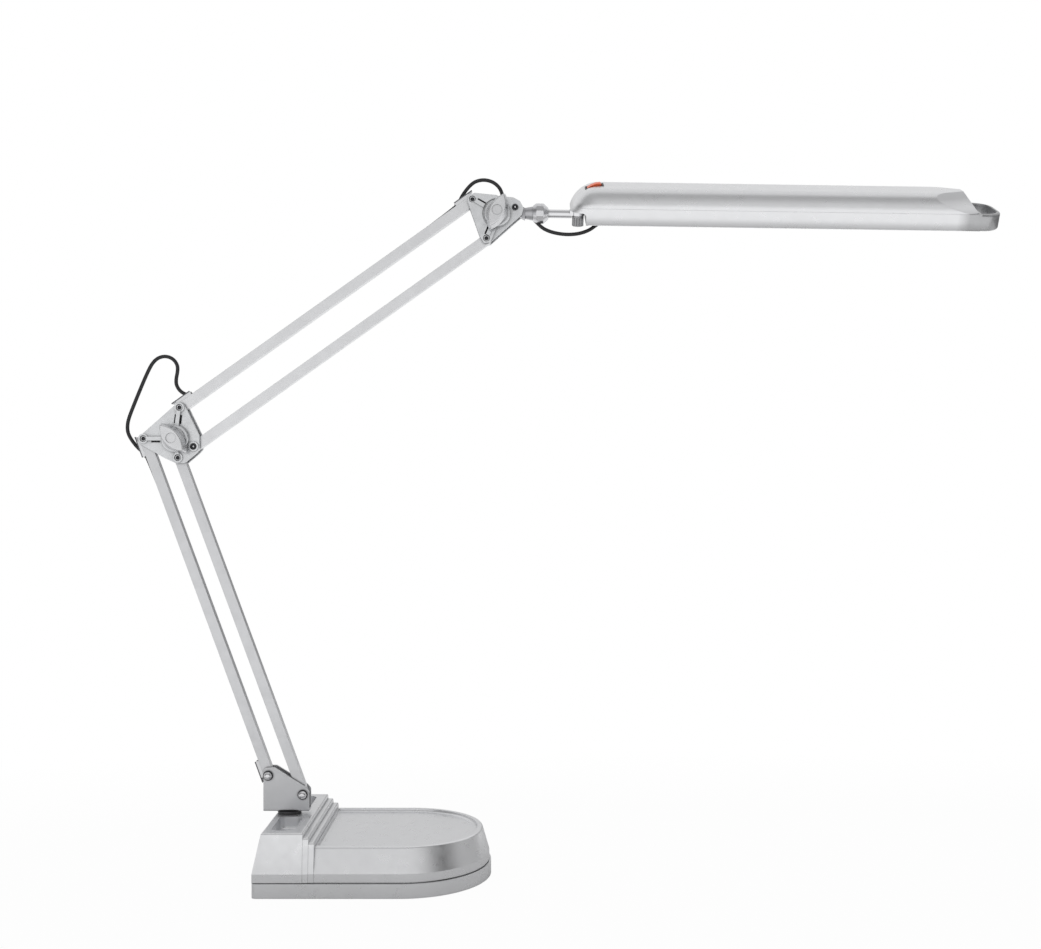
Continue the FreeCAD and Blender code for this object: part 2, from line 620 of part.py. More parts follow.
ELBOW_PINS = [("0", "0"), (LOWER_DX, LOWER_DZ), ("elbow_x", "elbow_z"),
              (f"(elbow_x + {UPPER_DX})", f"(elbow_z + {UPPER_DZ})")]
ELBOW_BOSS = ("elbow_boss_x", "-elbow_boss_z")
ELBOW_SLOTS = ((0, 1), (2, 1), (2, -1))
HEAD_PINS = [("0", "0"), (UPPER_DX, UPPER_DZ), ("tilt_x", "-tilt_z")]
HEAD_BOSS = ("head_boss_x", "-head_boss_z")
PIN_FACE = "(plate_gap / 2 + pivot_boss_height - recess_depth)"


def drilled(solid_item, pins, boss):
    """Pin holes with their head recesses, and the clamp stud's hole."""
    tools = []
    for x, z in pins:
        tools.append(wall_rod(x, z, "pin_radius + fit_gap", "plate_gap"))
        tools.append(rod((x, "-plate_gap * 2", z), "Y", "recess_radius", f"plate_gap * 2 - {PIN_FACE}"))
    tools.append(wall_rod(boss[0], boss[1], "stud_radius + fit_gap", "plate_gap * 3"))
    return cut(solid_item, *tools)


def elbow_casting():
    low_x, low_z = ELBOW_PINS[1]
    far_x, far_z = ELBOW_PINS[3]
    corners = [
        ("-pivot_boss", "-pivot_boss * 0.9"), ("-pivot_boss", "0"), ("-pivot_boss * 0.3", "pivot_boss * 0.9"),
        ("elbow_x - pivot_boss * 0.7", "elbow_z + pivot_boss * 0.7"),
        ("elbow_x + pivot_boss * 0.4", "elbow_z + pivot_boss"),
        ("elbow_x + pivot_boss * 0.95", "elbow_z + pivot_boss * 0.6"),
        (f"{far_x} + pivot_boss * 1.15", f"{far_z} + pivot_boss * 2.2"),
        (f"{far_x} + pivot_boss * 1.2", f"{far_z} - pivot_boss * 0.6"),
        (f"{far_x} + pivot_boss * 0.5", f"{far_z} - pivot_boss * 1.4"),
        (f"{low_x} + pivot_boss * 1.3", f"{low_z} - pivot_boss * 1.1"),
        (f"{low_x} - pivot_boss * 0.3", f"{low_z} - pivot_boss * 1.15"),
        (f"{low_x} * 0.62", f"{low_z} - pivot_boss * 0.1"),
    ]
    base = plate("elbow_outline", corners, "plate_gap / 2", "casting_base")
    base = rounded(base, "pivot_boss * 0.4", crosswise)
    bosses = [wall_rod(x, z, "pivot_boss", "pivot_boss_height") for x, z in ELBOW_PINS]
    hub = wall_rod(*ELBOW_BOSS, "elbow_boss_radius", "boss_height")
    ribs = [rib(*ELBOW_BOSS, x, z, "rib_width", "rib_height") for x, z in ELBOW_PINS[:3]]
    slots = [slot(ELBOW_PINS[pin], ELBOW_BOSS, "elbow_boss_radius", side) for pin, side in ELBOW_SLOTS]
    solid_item = cut(fuse(base, *bosses, *ribs, rounded_front(hub)), *slots)
    return drilled(solid_item, ELBOW_PINS, ELBOW_BOSS)


def rounded_front(hub):
    """Softens the near rim of a round boss."""
    doc.recompute()
    front = hub.Shape.BoundBox.YMin
    return rounded(hub, "edge_round * 0.6",
                   lambda edge: abs(edge.BoundBox.YMin - front) + abs(edge.BoundBox.YMax - front) < 1e-5)


def head_casting():
    low_x, low_z = HEAD_PINS[1]
    outline = [
        ("-pivot_boss", "-pivot_boss * 0.4"), ("-pivot_boss * 0.8", "pivot_boss * 0.7"),
        ("pivot_boss * 0.4", "pivot_boss * 1.25"), ("tilt_x - lobe_radius * 0.2", "-tilt_z + lobe_radius * 1.15"),
        ("tilt_x + lobe_radius * 0.55", "-tilt_z + lobe_radius * 0.75"),
        ("tilt_x + lobe_radius", "-tilt_z - lobe_radius * 0.1"),
        ("tilt_x + lobe_radius * 0.8", "-tilt_z - lobe_radius * 0.9"),
        ("tilt_x - lobe_radius * 0.2", "-tilt_z - lobe_radius * 1.75"),
        (f"{low_x} + pivot_boss * 0.9", f"{low_z} - pivot_boss * 0.7"),
        (f"{low_x} - pivot_boss * 0.5", f"{low_z} - pivot_boss"),
        (f"{low_x} - pivot_boss * 1.3", f"{low_z} + pivot_boss * 0.3"),
    ]
    cover = outline[:3] + [
        ("head_boss_x", "pivot_boss * 0.8"), ("head_boss_x + pivot_boss", "-head_boss_z"),
    ] + outline[-3:]
    base = plate("lobe_outline", outline, "plate_gap / 2", "lobe_thickness")
    base = rounded(base, "pivot_boss * 0.4", crosswise)
    raised = plate("cover_outline", cover, "plate_gap / 2", "pivot_boss_height")
    raised = rounded(raised, "pivot_boss * 0.3", crosswise)
    hub = wall_rod(*HEAD_BOSS, "head_boss_radius", "boss_height")
    ribs = [rib(*HEAD_BOSS, x, z, "rib_width", "rib_height") for x, z in HEAD_PINS[:2]]
    tools = []
    for x, z in HEAD_PINS:
        tools.append(wall_rod(x, z, "pin_radius + fit_gap", "plate_gap"))
    for x, z in HEAD_PINS[:2]:
        tools.append(rod((x, "-plate_gap * 2", z), "Y", "recess_radius", f"plate_gap * 2 - {PIN_FACE}"))
    tools.append(wall_rod(*HEAD_BOSS, "stud_radius + fit_gap", "plate_gap * 3"))
    tools.append(hub_groove(HEAD_BOSS, "head_boss_radius", "pivot_boss_height"))
    tools += [slot(pin, HEAD_BOSS, "head_boss_radius", -1) for pin in HEAD_PINS[:2]]
    return cut(fuse(base, raised, *ribs, rounded_front(hub)), *tools)


def pivot_screws(pins, face):
    """A screw and its sleeve nut through both castings at each pivot."""
    made = []
    for x, z in pins:
        shank = rod((x, f"-{face}", z), "Y", "pin_radius", f"2 * {face}")
        heads = [rod((x, y, z), "Y", "recess_radius - 0.3", "pin_head")
                 for y in (f"-{face} - pin_head", face)]
        slot = hexagon((x, f"-{face} - pin_head", z), "Y", "pin_radius * 1.1", "pin_head * 0.6")
        made.append(cut(fuse(shank, *heads), slot))
    return group(*made)


def spacer(boss):
    """A sleeve round the clamp stud that keeps the castings apart."""
    x, z = boss
    sleeve = rod((x, "-plate_gap / 2", z), "Y", "spacer_radius", "plate_gap")
    return cut(sleeve, rod((x, "-plate_gap", z), "Y", "stud_radius + fit_gap", "2 * plate_gap"))


KNOB_BACK = "(plate_gap / 2 + boss_height + knob_gap)"


def clamp_stud(boss):
    """The threaded stud through both castings, with a hexagon head on the far side."""
    x, z = boss
    far = "(plate_gap / 2 + boss_height)"
    length = f"{KNOB_BACK} + knob_thickness * 0.7"
    shank = rod((x, f"-({length})", z), "Y", "stud_radius", f"{length} + {far}")
    return fuse(shank, hexagon((x, far, z), "Y", "stud_radius * 3.4", "stud_radius * 1.3"))


def wing_knob():
    """Two opposite pointed wings: the shape that two large cones share, on a round collar."""
    arc = "((knob_length * knob_length + knob_width * knob_width) / (4 * knob_width))"
    depth = "(knob_thickness - knob_collar_height)"
    front = f"(-{KNOB_BACK} - knob_thickness)"
    face = f"({arc} - knob_flank)"
    lens = common(cone(("0", front, f"{arc} - knob_width / 2"), "Y", face, arc, depth),
                  cone(("0", front, f"knob_width / 2 - {arc}"), "Y", face, arc, depth))
    wings = rounded(lens, "edge_round * 0.7", lambda edge: True)
    collar = rod(("0", f"-{KNOB_BACK} - knob_collar_height", "0"), "Y", "knob_collar", "knob_collar_height")
    hub = cone(("0", f"{front} + knob_dish", "0"), "Y", "knob_width / 2 - knob_flank", "knob_width / 2",
               f"{depth} - knob_dish")
    bore = rod(("0", f"-{KNOB_BACK} - knob_thickness * 0.75", "0"), "Y", "stud_radius + pin_clearance",
               "knob_thickness")
    dish = rod(("0", f"{front} - 1", "0"), "Y", "knob_width * 0.27", "1 + knob_dish")
    return cut(fuse(wings, hub, collar), bore, dish)


# Tilt neck and stem, along X from the swing pivot backwards
def tilt_neck(tilt):
    """The tab between the castings and the socket that the stem turns in."""
    x, z = (str(round(number, 6)) for number in (tilt.x, tilt.z))
    corners = [
        (x, f"{z} + eye_radius"), ("-socket_reach - socket_length / 2", "rod_radius"),
        ("-socket_reach - socket_length / 2", "-rod_radius * 1.5"), (x, f"{z} - eye_radius"),
    ]
    tab = plate("neck_tab", corners, "-bar_depth / 2", "bar_depth")
    eye = rod((x, "-bar_depth / 2", z), "Y", "eye_radius", "bar_depth")
    socket = cone(("-socket_reach - socket_length / 2", "0", "0"), "X", "socket_radius * 0.8", "socket_radius",
                  "socket_length")
    pin = rod((x, "-bar_depth / 2", z), "Y", "pin_radius + pin_clearance", "bar_depth")
    bore = rod(("-socket_reach - socket_length / 2 + 1.5", "0", "0"), "X", "spigot_radius + pin_clearance",
               "socket_length")
    return cut(fuse(tab, eye, socket), pin, bore)


SOCKET_END = "(-socket_reach + socket_length / 2)"

# The cord between the collar and the head's gland: points counted in steps from the swing pivot
HEAD_CORD = [SWING_POINT + Vector(x, y, z) * size.cord_step for x, y, z in (
    (-44.3, 0, -6), (-38.2, 0, -13.1), (-29.7, 0, -17.5), (-19.7, 0, -20), (-8.8, 0, -20.9),
    (2.3, 0, -19.7), (12.3, 0.3, -15.9), (19.8, 1, -9.9),
)]
HEAD_CORD.append(HEAD_FRAME.multVec(
    Vector(size.gear_start + size.gland_reach, 0, -size.head_bottom - size.cord_radius * 0.6)))


COLLAR_FLATS = 12


def stem_collar():
    """The faceted collar that closes the socket, with chamfered ends."""
    start = f"({SOCKET_END} + run_gap)"
    prism = hexagon((start, "0", "0"), "X", "2 * collar_radius", "collar_length", COLLAR_FLATS)
    ends = fuse(
        cone((start, "0", "0"), "X", "collar_radius * 0.8", "collar_radius * 1.05", "collar_length * 0.25"),
        rod((f"{start} + collar_length * 0.25", "0", "0"), "X", "collar_radius * 1.05", "collar_length * 0.4"),
        cone((f"{start} + collar_length * 0.65", "0", "0"), "X", "collar_radius * 1.05", "rod_radius * 1.35",
             "collar_length * 0.35"))
    outlet = doc.addObject("Part::Cylinder", "Outlet")
    outlet.setExpression("Radius", bind("cord_radius + cord_play"))
    outlet.setExpression("Height", bind("collar_length"))
    inverse = HEAD_FRAME.inverse()
    begin, onward = (inverse.multVec(point) for point in HEAD_CORD[:2])
    outlet.Placement = Placement(begin, Rotation(Vector(0, 0, 1), onward - begin))
    return cut(common(prism, ends), rod((start, "0", "0"), "X", "rod_radius + fit_gap", "collar_length"), outlet)


def stem_rod():
    """The rod with its spigot, and the flat eye that the head swings on."""
    spigot_start = "(-socket_reach - socket_length / 2 + 2)"
    spigot = rod((spigot_start, "0", "0"), "X", "spigot_radius", f"{SOCKET_END} + run_gap - {spigot_start}")
    shaft = rod((f"{SOCKET_END} + run_gap", "0", "0"), "X", "rod_radius", f"-{SOCKET_END} - run_gap - eye_radius")
    neck = block("-eye_radius - 2", "-rod_radius", "rod_radius - eye_thickness", "eye_radius + 2", "2 * rod_radius",
                 "eye_thickness")
    eye = rod(("0", "0", "rod_radius - eye_thickness"), "Z", "eye_radius", "eye_thickness")
    return cut(fuse(spigot, shaft, neck, eye),
               rod(("0", "0", "-rod_radius"), "Z", "stud_radius + pin_clearance", "3 * rod_radius"))


# Head, in its own frame: X along it from the swing pivot, Z up through its roof
def housing(inset):
    """The whole outer form of the housing, or its hollow when inset by the wall."""
    form = block(f"-head_back + {inset}", f"-head_width / 2 + {inset}", f"-head_bottom - 2 * ({inset})",
                 f"shell_end + head_back - 2 * ({inset})", f"head_width - 2 * ({inset})",
                 f"head_bottom + head_top + {inset}")
    top = worth(f"head_top - ({inset})")
    back = worth(f"-head_back + {inset}")
    form = rounded(form, f"nose_round - {inset}",
                   lambda edge: crosswise(edge) and edge.BoundBox.ZMin > top - 1 and edge.BoundBox.XMax < back + 1)
    return rounded(form, f"head_round - {inset}",
                   lambda edge: abs(edge.BoundBox.YLength) < 1e-6 and edge.BoundBox.ZMax > top - 1e-3
                   and edge.BoundBox.XLength > 1)


def end_wedge():
    """A cutter for the cover's slanted end face."""
    wedge = solid("Part::Wedge", turn=((1, 0, 0), 90))
    for name, formula in {
        "Xmin": "shell_end - bevel_foot", "Xmax": "loop_end", "Ymin": "band_top", "Ymax": "head_top + 1",
        "Zmin": "-head_width", "Zmax": "head_width", "X2min": "shell_end - bevel_length",
        "X2max": "loop_end", "Z2min": "-head_width", "Z2max": "head_width",
    }.items():
        wedge.setExpression(name, bind(formula))
    return wedge


def shoulder(side, inset=0):
    """A cutter above one of the two slanted planes that narrow the cover towards its end."""
    high = Vector(size.shell_end - size.shoulder_start, side * size.shoulder_side,
                  size.head_top - size.shoulder_sink)
    low = Vector(size.shell_end - size.shoulder_foot, side * size.head_width / 2, size.band_top)
    ridge = Vector(size.shell_end - size.shoulder_ridge, side * size.shoulder_middle, size.head_top)
    normal = (low - high).cross(ridge - high).normalize() * -side
    reach = size.head_width
    item = doc.addObject("Part::Box", "Shoulder")
    for name in ("Length", "Width", "Height"):
        item.setExpression(name, bind("2 * head_width"))
    turned = Placement(high - normal * inset, Rotation(Vector(0, 0, 1), normal))
    item.Placement = turned.multiply(Placement(Vector(-reach, -reach, 0), Rotation()))
    return item


def head_shell():
    """The upper cover: roof, round nose and an end with three slanted faces."""
    level = "(band_top + seam_gap)"
    length = "shell_end + head_back"
    upper = block("-head_back", "-head_width / 2", level, length, "head_width", "head_top")
    hollow = block("-head_back", "-head_width / 2", "0", length, "head_width", "head_top")
    end_cut = end_wedge()
    outer = cut(common(housing("0"), upper), end_cut, *[shoulder(side) for side in (-1, 1)])
    inner = cut(common(housing("head_wall"), hollow), inner_cut(end_cut),
                *[shoulder(side, size.head_wall) for side in (-1, 1)])
    run = "shell_end - shoulder_start - lip_start"
    lip_form = block("lip_start", "-head_width / 2", "band_top - lip_rise", run, "head_width", "2 * lip_rise")
    lip_root = block("lip_start", "-head_width / 2", level, run, "head_width", "lip_rise")
    lip = cut(fuse(common(housing("(head_wall + fit_gap)"), lip_form),
                   common(housing("(head_wall / 2)"), lip_root)),
              housing("(head_wall + fit_gap + lip_sheet)"))
    hangers = [rod((x, "0", "reflector_roof"), "Z", "hanger_radius", "head_top - head_wall / 2 - reflector_roof")
               for x in ("reflector_start + 40", "reflector_end - 30")]
    return cut(fuse(cut(outer, inner), lip, *hangers), switch_opening())


def inner_cut(tool):
    """The same cutter, moved in by the wall so that the hollow keeps clear of a slanted end."""
    doc.recompute()
    copy = doc.addObject("Part::Feature", "Inset")
    copy.Shape = tool.Shape.translated(Vector(-size.head_wall * 1.5, 0, 0))
    return copy


SWITCH_FRAME = Placement(Vector(size.switch_x, 0, size.switch_rise), Rotation(Vector(0, 1, 0), -size.switch_tilt))


def switch_opening():
    """The cut-out in the roof for the switch frame."""
    hole = block("-switch_length / 2 - fit_gap", "-switch_width / 2 - fit_gap", "-head_wall * 4",
                 "switch_length + 2 * fit_gap", "switch_width + 2 * fit_gap", "head_wall * 8")
    moved = group(hole)
    moved.Placement = SWITCH_FRAME
    return moved


def head_frame():
    """The lower band, the bulkhead over its open notch, and the carrying loop at its far end."""
    height = "head_bottom + band_top"
    bottom = flat_at("-head_bottom")
    band = common(housing("0"), block("-head_back", "-head_width / 2", "-head_bottom", "shell_end + head_back",
                                      "head_width", height))
    band = rounded(band, "frame_round", lambda edge: bottom(edge) and edge.BoundBox.XLength > 1)
    band = cut(band, common(housing("head_wall"), block("-head_back", "-head_width / 2", "-head_width",
                                                        "shell_end + head_back", "head_width", "2 * head_width")))
    loop = block("shell_end - head_wall / 2", "-head_width / 2", "-head_bottom",
                 "loop_end - shell_end + head_wall / 2", "head_width", height)
    end = size.loop_end
    start = size.shell_end
    loop = rounded(loop, "loop_corner", lambda edge: upright(edge) and edge.BoundBox.XMax > end - 1)
    loop = rounded(loop, "loop_round", lambda edge: edge.BoundBox.ZLength < 1e-6 and edge.BoundBox.XMax > start)
    hole = block("shell_end", "-head_width / 2 + loop_wall", "-head_bottom", "loop_end - loop_wall - shell_end",
                 "head_width - 2 * loop_wall", height)
    inner_end = size.loop_end - size.loop_wall
    hole = rounded(hole, "loop_corner - loop_wall", lambda edge: upright(edge) and edge.BoundBox.XMin > inner_end - 1)
    bulkhead = common(housing("0"), block(
        "-head_back", "-head_width / 2", "-head_bottom", "head_back + notch_reach + bulkhead_wall", "head_width",
        "head_bottom + bridge_bottom + bridge_thickness"))
    notch = block("-head_back - 1", "-head_width", "-head_bottom - 1", "head_back + 1 + notch_reach",
                  "2 * head_width", "head_bottom + 1 + bridge_bottom")
    corner = size.notch_reach - 1
    level = size.bridge_bottom - 1
    notch = rounded(notch, "notch_round",
                    lambda edge: crosswise(edge) and edge.BoundBox.XMin > corner and edge.BoundBox.ZMin > level)
    boss = rod(("0", "0", "rod_radius + run_gap"), "Z", "eye_radius", "bridge_bottom - rod_radius")
    pivot = rod(("0", "0", "0"), "Z", "stud_radius + fit_gap", "head_top / 2")
    return cut(fuse(cut(fuse(cut(fuse(band, loop), hole), bulkhead), notch), boss), pivot)


def clamp_bolt():
    """The bolt that hangs from the bridge and carries the stem's eye."""
    top = "(bridge_bottom + bridge_thickness)"
    foot = "(rod_radius - eye_thickness - run_gap - clamp_height * 0.8)"
    shank = rod(("0", "0", foot), "Z", "stud_radius", f"{top} - {foot}")
    return fuse(shank, hexagon(("0", "0", top), "Z", "stud_radius * 2.4", "stud_radius * 0.5"))


def clamp_nut():
    """A ribbed thumb nut under the eye."""
    top = "(rod_radius - eye_thickness - run_gap)"
    foot = f"({top} - clamp_height)"
    body = rod(("0", "0", foot), "Z", "clamp_radius", "clamp_height")
    grooves = []
    for number in range(14):
        angle = math.radians(number * 360 / 14)
        spot = Vector(size.clamp_radius * math.cos(angle), size.clamp_radius * math.sin(angle), worth(foot))
        groove = doc.addObject("Part::Cylinder", "Groove")
        groove.setExpression("Radius", bind("clamp_radius * 0.1"))
        groove.setExpression("Height", bind("clamp_height * 0.8"))
        groove.Placement.Base = spot
        grooves.append(groove)
    hole = rod(("0", "0", "-head_top"), "Z", "stud_radius + fit_gap", "head_top * 2")
    return cut(body, *grooves, hole)


def gear_box():
    """The closed housing of the ballast, which also closes the head's underside round the cord's gland."""
    room = "(head_width - 2 * head_wall - 5)"
    box = rounded(block("gear_start", f"-{room} / 2", "-head_bottom + gear_sink", "gear_end - gear_start", room,
                        "gear_top + head_bottom - gear_sink"), "edge_round", upright)
    feet = [rod((x, "0", "gear_top - 1"), "Z", "hanger_radius", "head_top - head_wall - gear_top + 1")
            for x in ("gear_start + 12", "gear_end - 12")]
    return fuse(box, *feet)


def cord_gland():
    """The slanted bushing where the cord enters the gear box."""
    before, end = (HEAD_FRAME.inverse().multVec(point) for point in HEAD_CORD[-2:])
    run = (end - before).normalize()
    sleeve, hole = (doc.addObject("Part::Cylinder", "Gland") for _ in range(2))
    for item, radius in ((sleeve, "cord_radius + 1.4"), (hole, "cord_radius + cord_play")):
        item.setExpression("Radius", bind(radius))
        item.setExpression("Height", bind("3 * gland_length"))
        item.Placement = Placement(end - run * size.gland_length, Rotation(Vector(0, 0, 1), run))
    room = block("gear_start", "-head_width / 2", "-head_bottom + gear_sink", "gear_end", "head_width", "head_top")
    return cut(sleeve, hole, room)


def lamp_holder():
    body = block("holder_start", "-holder_width / 2", "tube_level - holder_height / 2", "holder_length",
                 "holder_width", "holder_height")
    body = rounded(body, "edge_round", lambda edge: edge.BoundBox.XLength > 1)
    foot = block("holder_start", "-holder_width / 4", "tube_level + holder_height / 2 - 1", "holder_length",
                 "holder_width / 2", "head_top - head_wall - tube_level - holder_height / 2 + 1")
    return fuse(body, foot)


CAP_START = "(holder_start + holder_length)"
TUBE_START = f"({CAP_START} + cap_length)"


def lamp_cap():
    body = block(CAP_START, "-cap_width / 2", "tube_level - cap_height / 2", "cap_length", "cap_width", "cap_height")
    return rounded(body, "edge_round * 1.5", lambda edge: edge.BoundBox.XLength > 1 and edge.BoundBox.YLength < 1e-6)


def lamp_tube():
    """Two glass tubes side by side, joined by a short bridge near their far end."""
    limbs = []
    for side in (-1, 1):
        limb = rod((TUBE_START, f"{side} * tube_spacing / 2", "tube_level"), "X", "tube_radius", "tube_length")
        doc.recompute()
        end = limb.Shape.BoundBox.XMax
        limbs.append(rounded(limb, "tube_radius * 0.7",
                             lambda edge, x=end: abs(edge.BoundBox.XMin - x) + abs(edge.BoundBox.XMax - x) < 1e-4))
    bridge = rod((f"{TUBE_START} + tube_length - 14", "-tube_spacing / 2", "tube_level"), "Y", "tube_radius * 0.5",
                 "tube_spacing")
    return fuse(*limbs, bridge)


def reflector():
    """A folded sheet trough with a flat roof and leaning sides, open below."""
    wide = "(reflector_width / 2)"
    narrow = "(reflector_width / 2 - reflector_lean)"
    corners = [(f"-{wide}", "-head_bottom + 1.5"), (f"-{narrow}", "reflector_roof"), (narrow, "reflector_roof"),
               (wide, "-head_bottom + 1.5"), (f"{wide} - sheet_metal", "-head_bottom + 1.5"),
               (f"{narrow} - sheet_metal * 0.6", "reflector_roof - sheet_metal"),
               (f"-{narrow} + sheet_metal * 0.6", "reflector_roof - sheet_metal"),
               (f"-{wide} + sheet_metal", "-head_bottom + 1.5")]
    return plate("reflector_fold", corners, "reflector_start", "reflector_end - reflector_start", "YZ_Plane")


def tube_clip():
    """A spring clip that holds the tubes near their far end, hung from the reflector's roof."""
    top = "(reflector_roof - sheet_metal)"
    half = "(tube_spacing / 2 + tube_radius + 1.5)"
    shoulder = "(reflector_roof - 7)"
    right = [(half, "tube_level"), (half, shoulder), (f"{half} - 2.2", top)]
    inside = [(f"{half} - 1", "tube_level"), (f"{half} - 1", f"{shoulder} - 0.4"), (f"{half} - 2.8", f"{top} - 1")]
    corners = right + [(f"-({y})", z) for y, z in reversed(right)]
    corners += [(f"-({y})", z) for y, z in inside] + list(reversed(inside))
    return plate("clip_fold", corners, f"{TUBE_START} + tube_length * 0.8", "clip_width", "YZ_Plane")


# Switch
def switch_housing():
    """The frame of the switch and its box under the roof."""
    body = block("-switch_length / 2", "-switch_width / 2", "-switch_depth", "switch_length", "switch_width",
                 "switch_depth + switch_proud")
    hollow = block("-switch_length / 2 + switch_frame", "-switch_width / 2 + switch_frame", "-switch_depth + 2",
                   "switch_length - 2 * switch_frame", "switch_width - 2 * switch_frame", "switch_depth * 2")
    axle = rod(("0", "-switch_width", "-axle_drop"), "Y", "axle_radius + pin_clearance", "2 * switch_width")
    return cut(rounded(body, "switch_frame * 0.6", upright), hollow, axle)


def rocker():
    """The rocker: a low curved bar, one end proud of the frame, on a round axle."""
    half = "(switch_length / 2 - switch_frame - rocker_gap)"
    width = "(switch_width - 2 * switch_frame - 2 * rocker_gap)"
    corners = [(f"-{half}", "-1"), (f"-{half} * 0.5", "-switch_depth * 0.4"),
               (f"{half} * 0.5", "-switch_depth * 0.4"), (half, "-1"), (f"{half} - rocker_lean * 0.3", "1"),
               (f"{half} - rocker_lean", "rocker_height * 0.85"), (f"{half} * 0.3", "rocker_height"),
               (f"-{half} * 0.4", "rocker_height * 0.7"), (f"-{half} + rocker_lean * 0.3", "0.4")]
    bar_form = rounded(plate("rocker_profile", corners, f"-{width} / 2", width), "0.5",
                       lambda edge: edge.BoundBox.ZMin > 1.5)
    axle = rod(("0", "-switch_width / 2 + run_gap", "-axle_drop"), "Y", "axle_radius",
               "switch_width - 2 * run_gap")
    return fuse(bar_form, axle)


# Base, swivel and bracket
named("base_pad", base_pad())
named("base_tray", base_tray())
named("base_shell", base_shell())
named("ballast_weight", ballast())
named("base_screws", base_screws())
named("pivot_bush", pivot_bush())
named("spindle", spindle())
named("spindle_clip", spindle_clip())
named("thrust_washer", thrust_washer())
named("spindle_nut", spindle_nut())
named("bracket", bracket())
BRACKET_PINS = [(REAR_X, REAR_Z), (f"({REAR_X} + {LOWER_DX})", f"({REAR_Z} + {LOWER_DZ})")]
BRACKET_HALF = "(plate_gap / 2 + sheet_thickness)"
named("bracket_bolts", bolts(BRACKET_PINS, BRACKET_HALF))
named("bracket_nuts", dome_nuts(BRACKET_PINS, BRACKET_HALF))
named("bracket_washers", washers(BRACKET_PINS))

# Arms
for label, pivot, direction in (
    ("lower_rear_bar", REAR_PIVOT, size.lower_direction), ("lower_front_bar", FRONT_PIVOT, size.lower_direction),
    ("upper_top_bar", ELBOW_TOP, size.upper_direction), ("upper_bottom_bar", ELBOW_LOW, size.upper_direction),
):
    named(label, bar(), bar_place(pivot, direction))
for label, pivot, direction, slotted in (
    ("lower", REAR_PIVOT, size.lower_direction, (False, True)),
    ("upper", ELBOW_TOP, size.upper_direction, (True, True)),
):
    place = bar_place(pivot, direction)
    named(label + "_cord_guides", cord_guides(slotted), place)
    channel = channel_route(size.cord_turn if slotted[0] else size.cord_end)
    named(label + "_channel_cord", tube(label + "_channel_cord", channel, place))

# Elbow
ELBOW_PLACE = Placement(ELBOW_REAR, Rotation())
named("elbow_casting_near", elbow_casting(), ELBOW_PLACE)
named("elbow_casting_far", mirrored(elbow_casting()), ELBOW_PLACE)
named("elbow_screws", pivot_screws(ELBOW_PINS, PIN_FACE), ELBOW_PLACE)
named("elbow_washers", washers(ELBOW_PINS), ELBOW_PLACE)
named("elbow_spacer", spacer(ELBOW_BOSS), ELBOW_PLACE)
named("elbow_stud", clamp_stud(ELBOW_BOSS), ELBOW_PLACE)
ELBOW_KNOB = ELBOW_REAR + Vector(size.elbow_boss_x, 0, -size.elbow_boss_z)
named("elbow_knob", wing_knob(), Placement(ELBOW_KNOB, Rotation(Vector(0, 1, 0), size.elbow_knob_turn)))

# Head joint
HEAD_PLACE = Placement(HEAD_TOP, Rotation())
named("head_casting_near", head_casting(), HEAD_PLACE)
named("head_casting_far", mirrored(head_casting()), HEAD_PLACE)
LOBE_FACE = "(plate_gap / 2 + lobe_thickness)"
named("head_joint_screws", group(pivot_screws(HEAD_PINS[:2], PIN_FACE), pivot_screws(HEAD_PINS[2:], LOBE_FACE)),
      HEAD_PLACE)
named("head_joint_washers", washers(HEAD_PINS), HEAD_PLACE)
cord_hole = rod(("31", "0", "-11.5"), "Z", "cord_radius + fit_gap * 2", "spacer_radius * 2")
named("head_joint_spacer", cut(spacer(HEAD_BOSS), cord_hole), HEAD_PLACE)
named("head_joint_stud", clamp_stud(HEAD_BOSS), HEAD_PLACE)
HEAD_KNOB = HEAD_TOP + Vector(size.head_boss_x, 0, -size.head_boss_z)
named("head_joint_knob", wing_knob(), Placement(HEAD_KNOB, Rotation(Vector(0, 1, 0), size.head_knob_turn)))

# Neck and stem
named("tilt_neck", tilt_neck(ROD_FRAME.inverse().multVec(TILT_PIVOT)), ROD_FRAME)
named("stem_collar", stem_collar(), HEAD_FRAME)
named("stem_rod", stem_rod(), HEAD_FRAME)

# Head
named("head_shell", head_shell(), HEAD_FRAME)
named("head_frame", head_frame(), HEAD_FRAME)
named("clamp_bolt", clamp_bolt(), HEAD_FRAME)
named("clamp_nut", clamp_nut(), HEAD_FRAME)
named("gear_box", gear_box(), HEAD_FRAME)
named("cord_gland", cord_gland(), HEAD_FRAME)
named("lamp_holder", lamp_holder(), HEAD_FRAME)
named("lamp_cap", lamp_cap(), HEAD_FRAME)
named("lamp_tube", lamp_tube(), HEAD_FRAME)
named("reflector", reflector(), HEAD_FRAME)
named("tube_clip", tube_clip(), HEAD_FRAME)
named("switch_housing", switch_housing(), HEAD_FRAME.multiply(SWITCH_FRAME))
named("switch_rocker", rocker(), HEAD_FRAME.multiply(SWITCH_FRAME))

# Free stretches of cord: points (x, z) in the arm's plane, counted from a pivot or from the desk
LOWER_PLACE = bar_place(REAR_PIVOT, size.lower_direction)
UPPER_PLACE = bar_place(ELBOW_TOP, size.upper_direction)


def beyond(place):
    """Where the cord leaves a bar's far end, and a point further on along the same line."""
    knee, leave = channel_route(0)[-2:]
    onward = leave + (leave - knee).normalize() * size.cord_reach
    return [place.multVec(leave), place.multVec(onward)]


def beside(origin, points):
    """Points (x, z) of a free stretch, counted in steps from a pivot."""
    return [origin + Vector(x, 0, z) * size.cord_step for x, z in points]


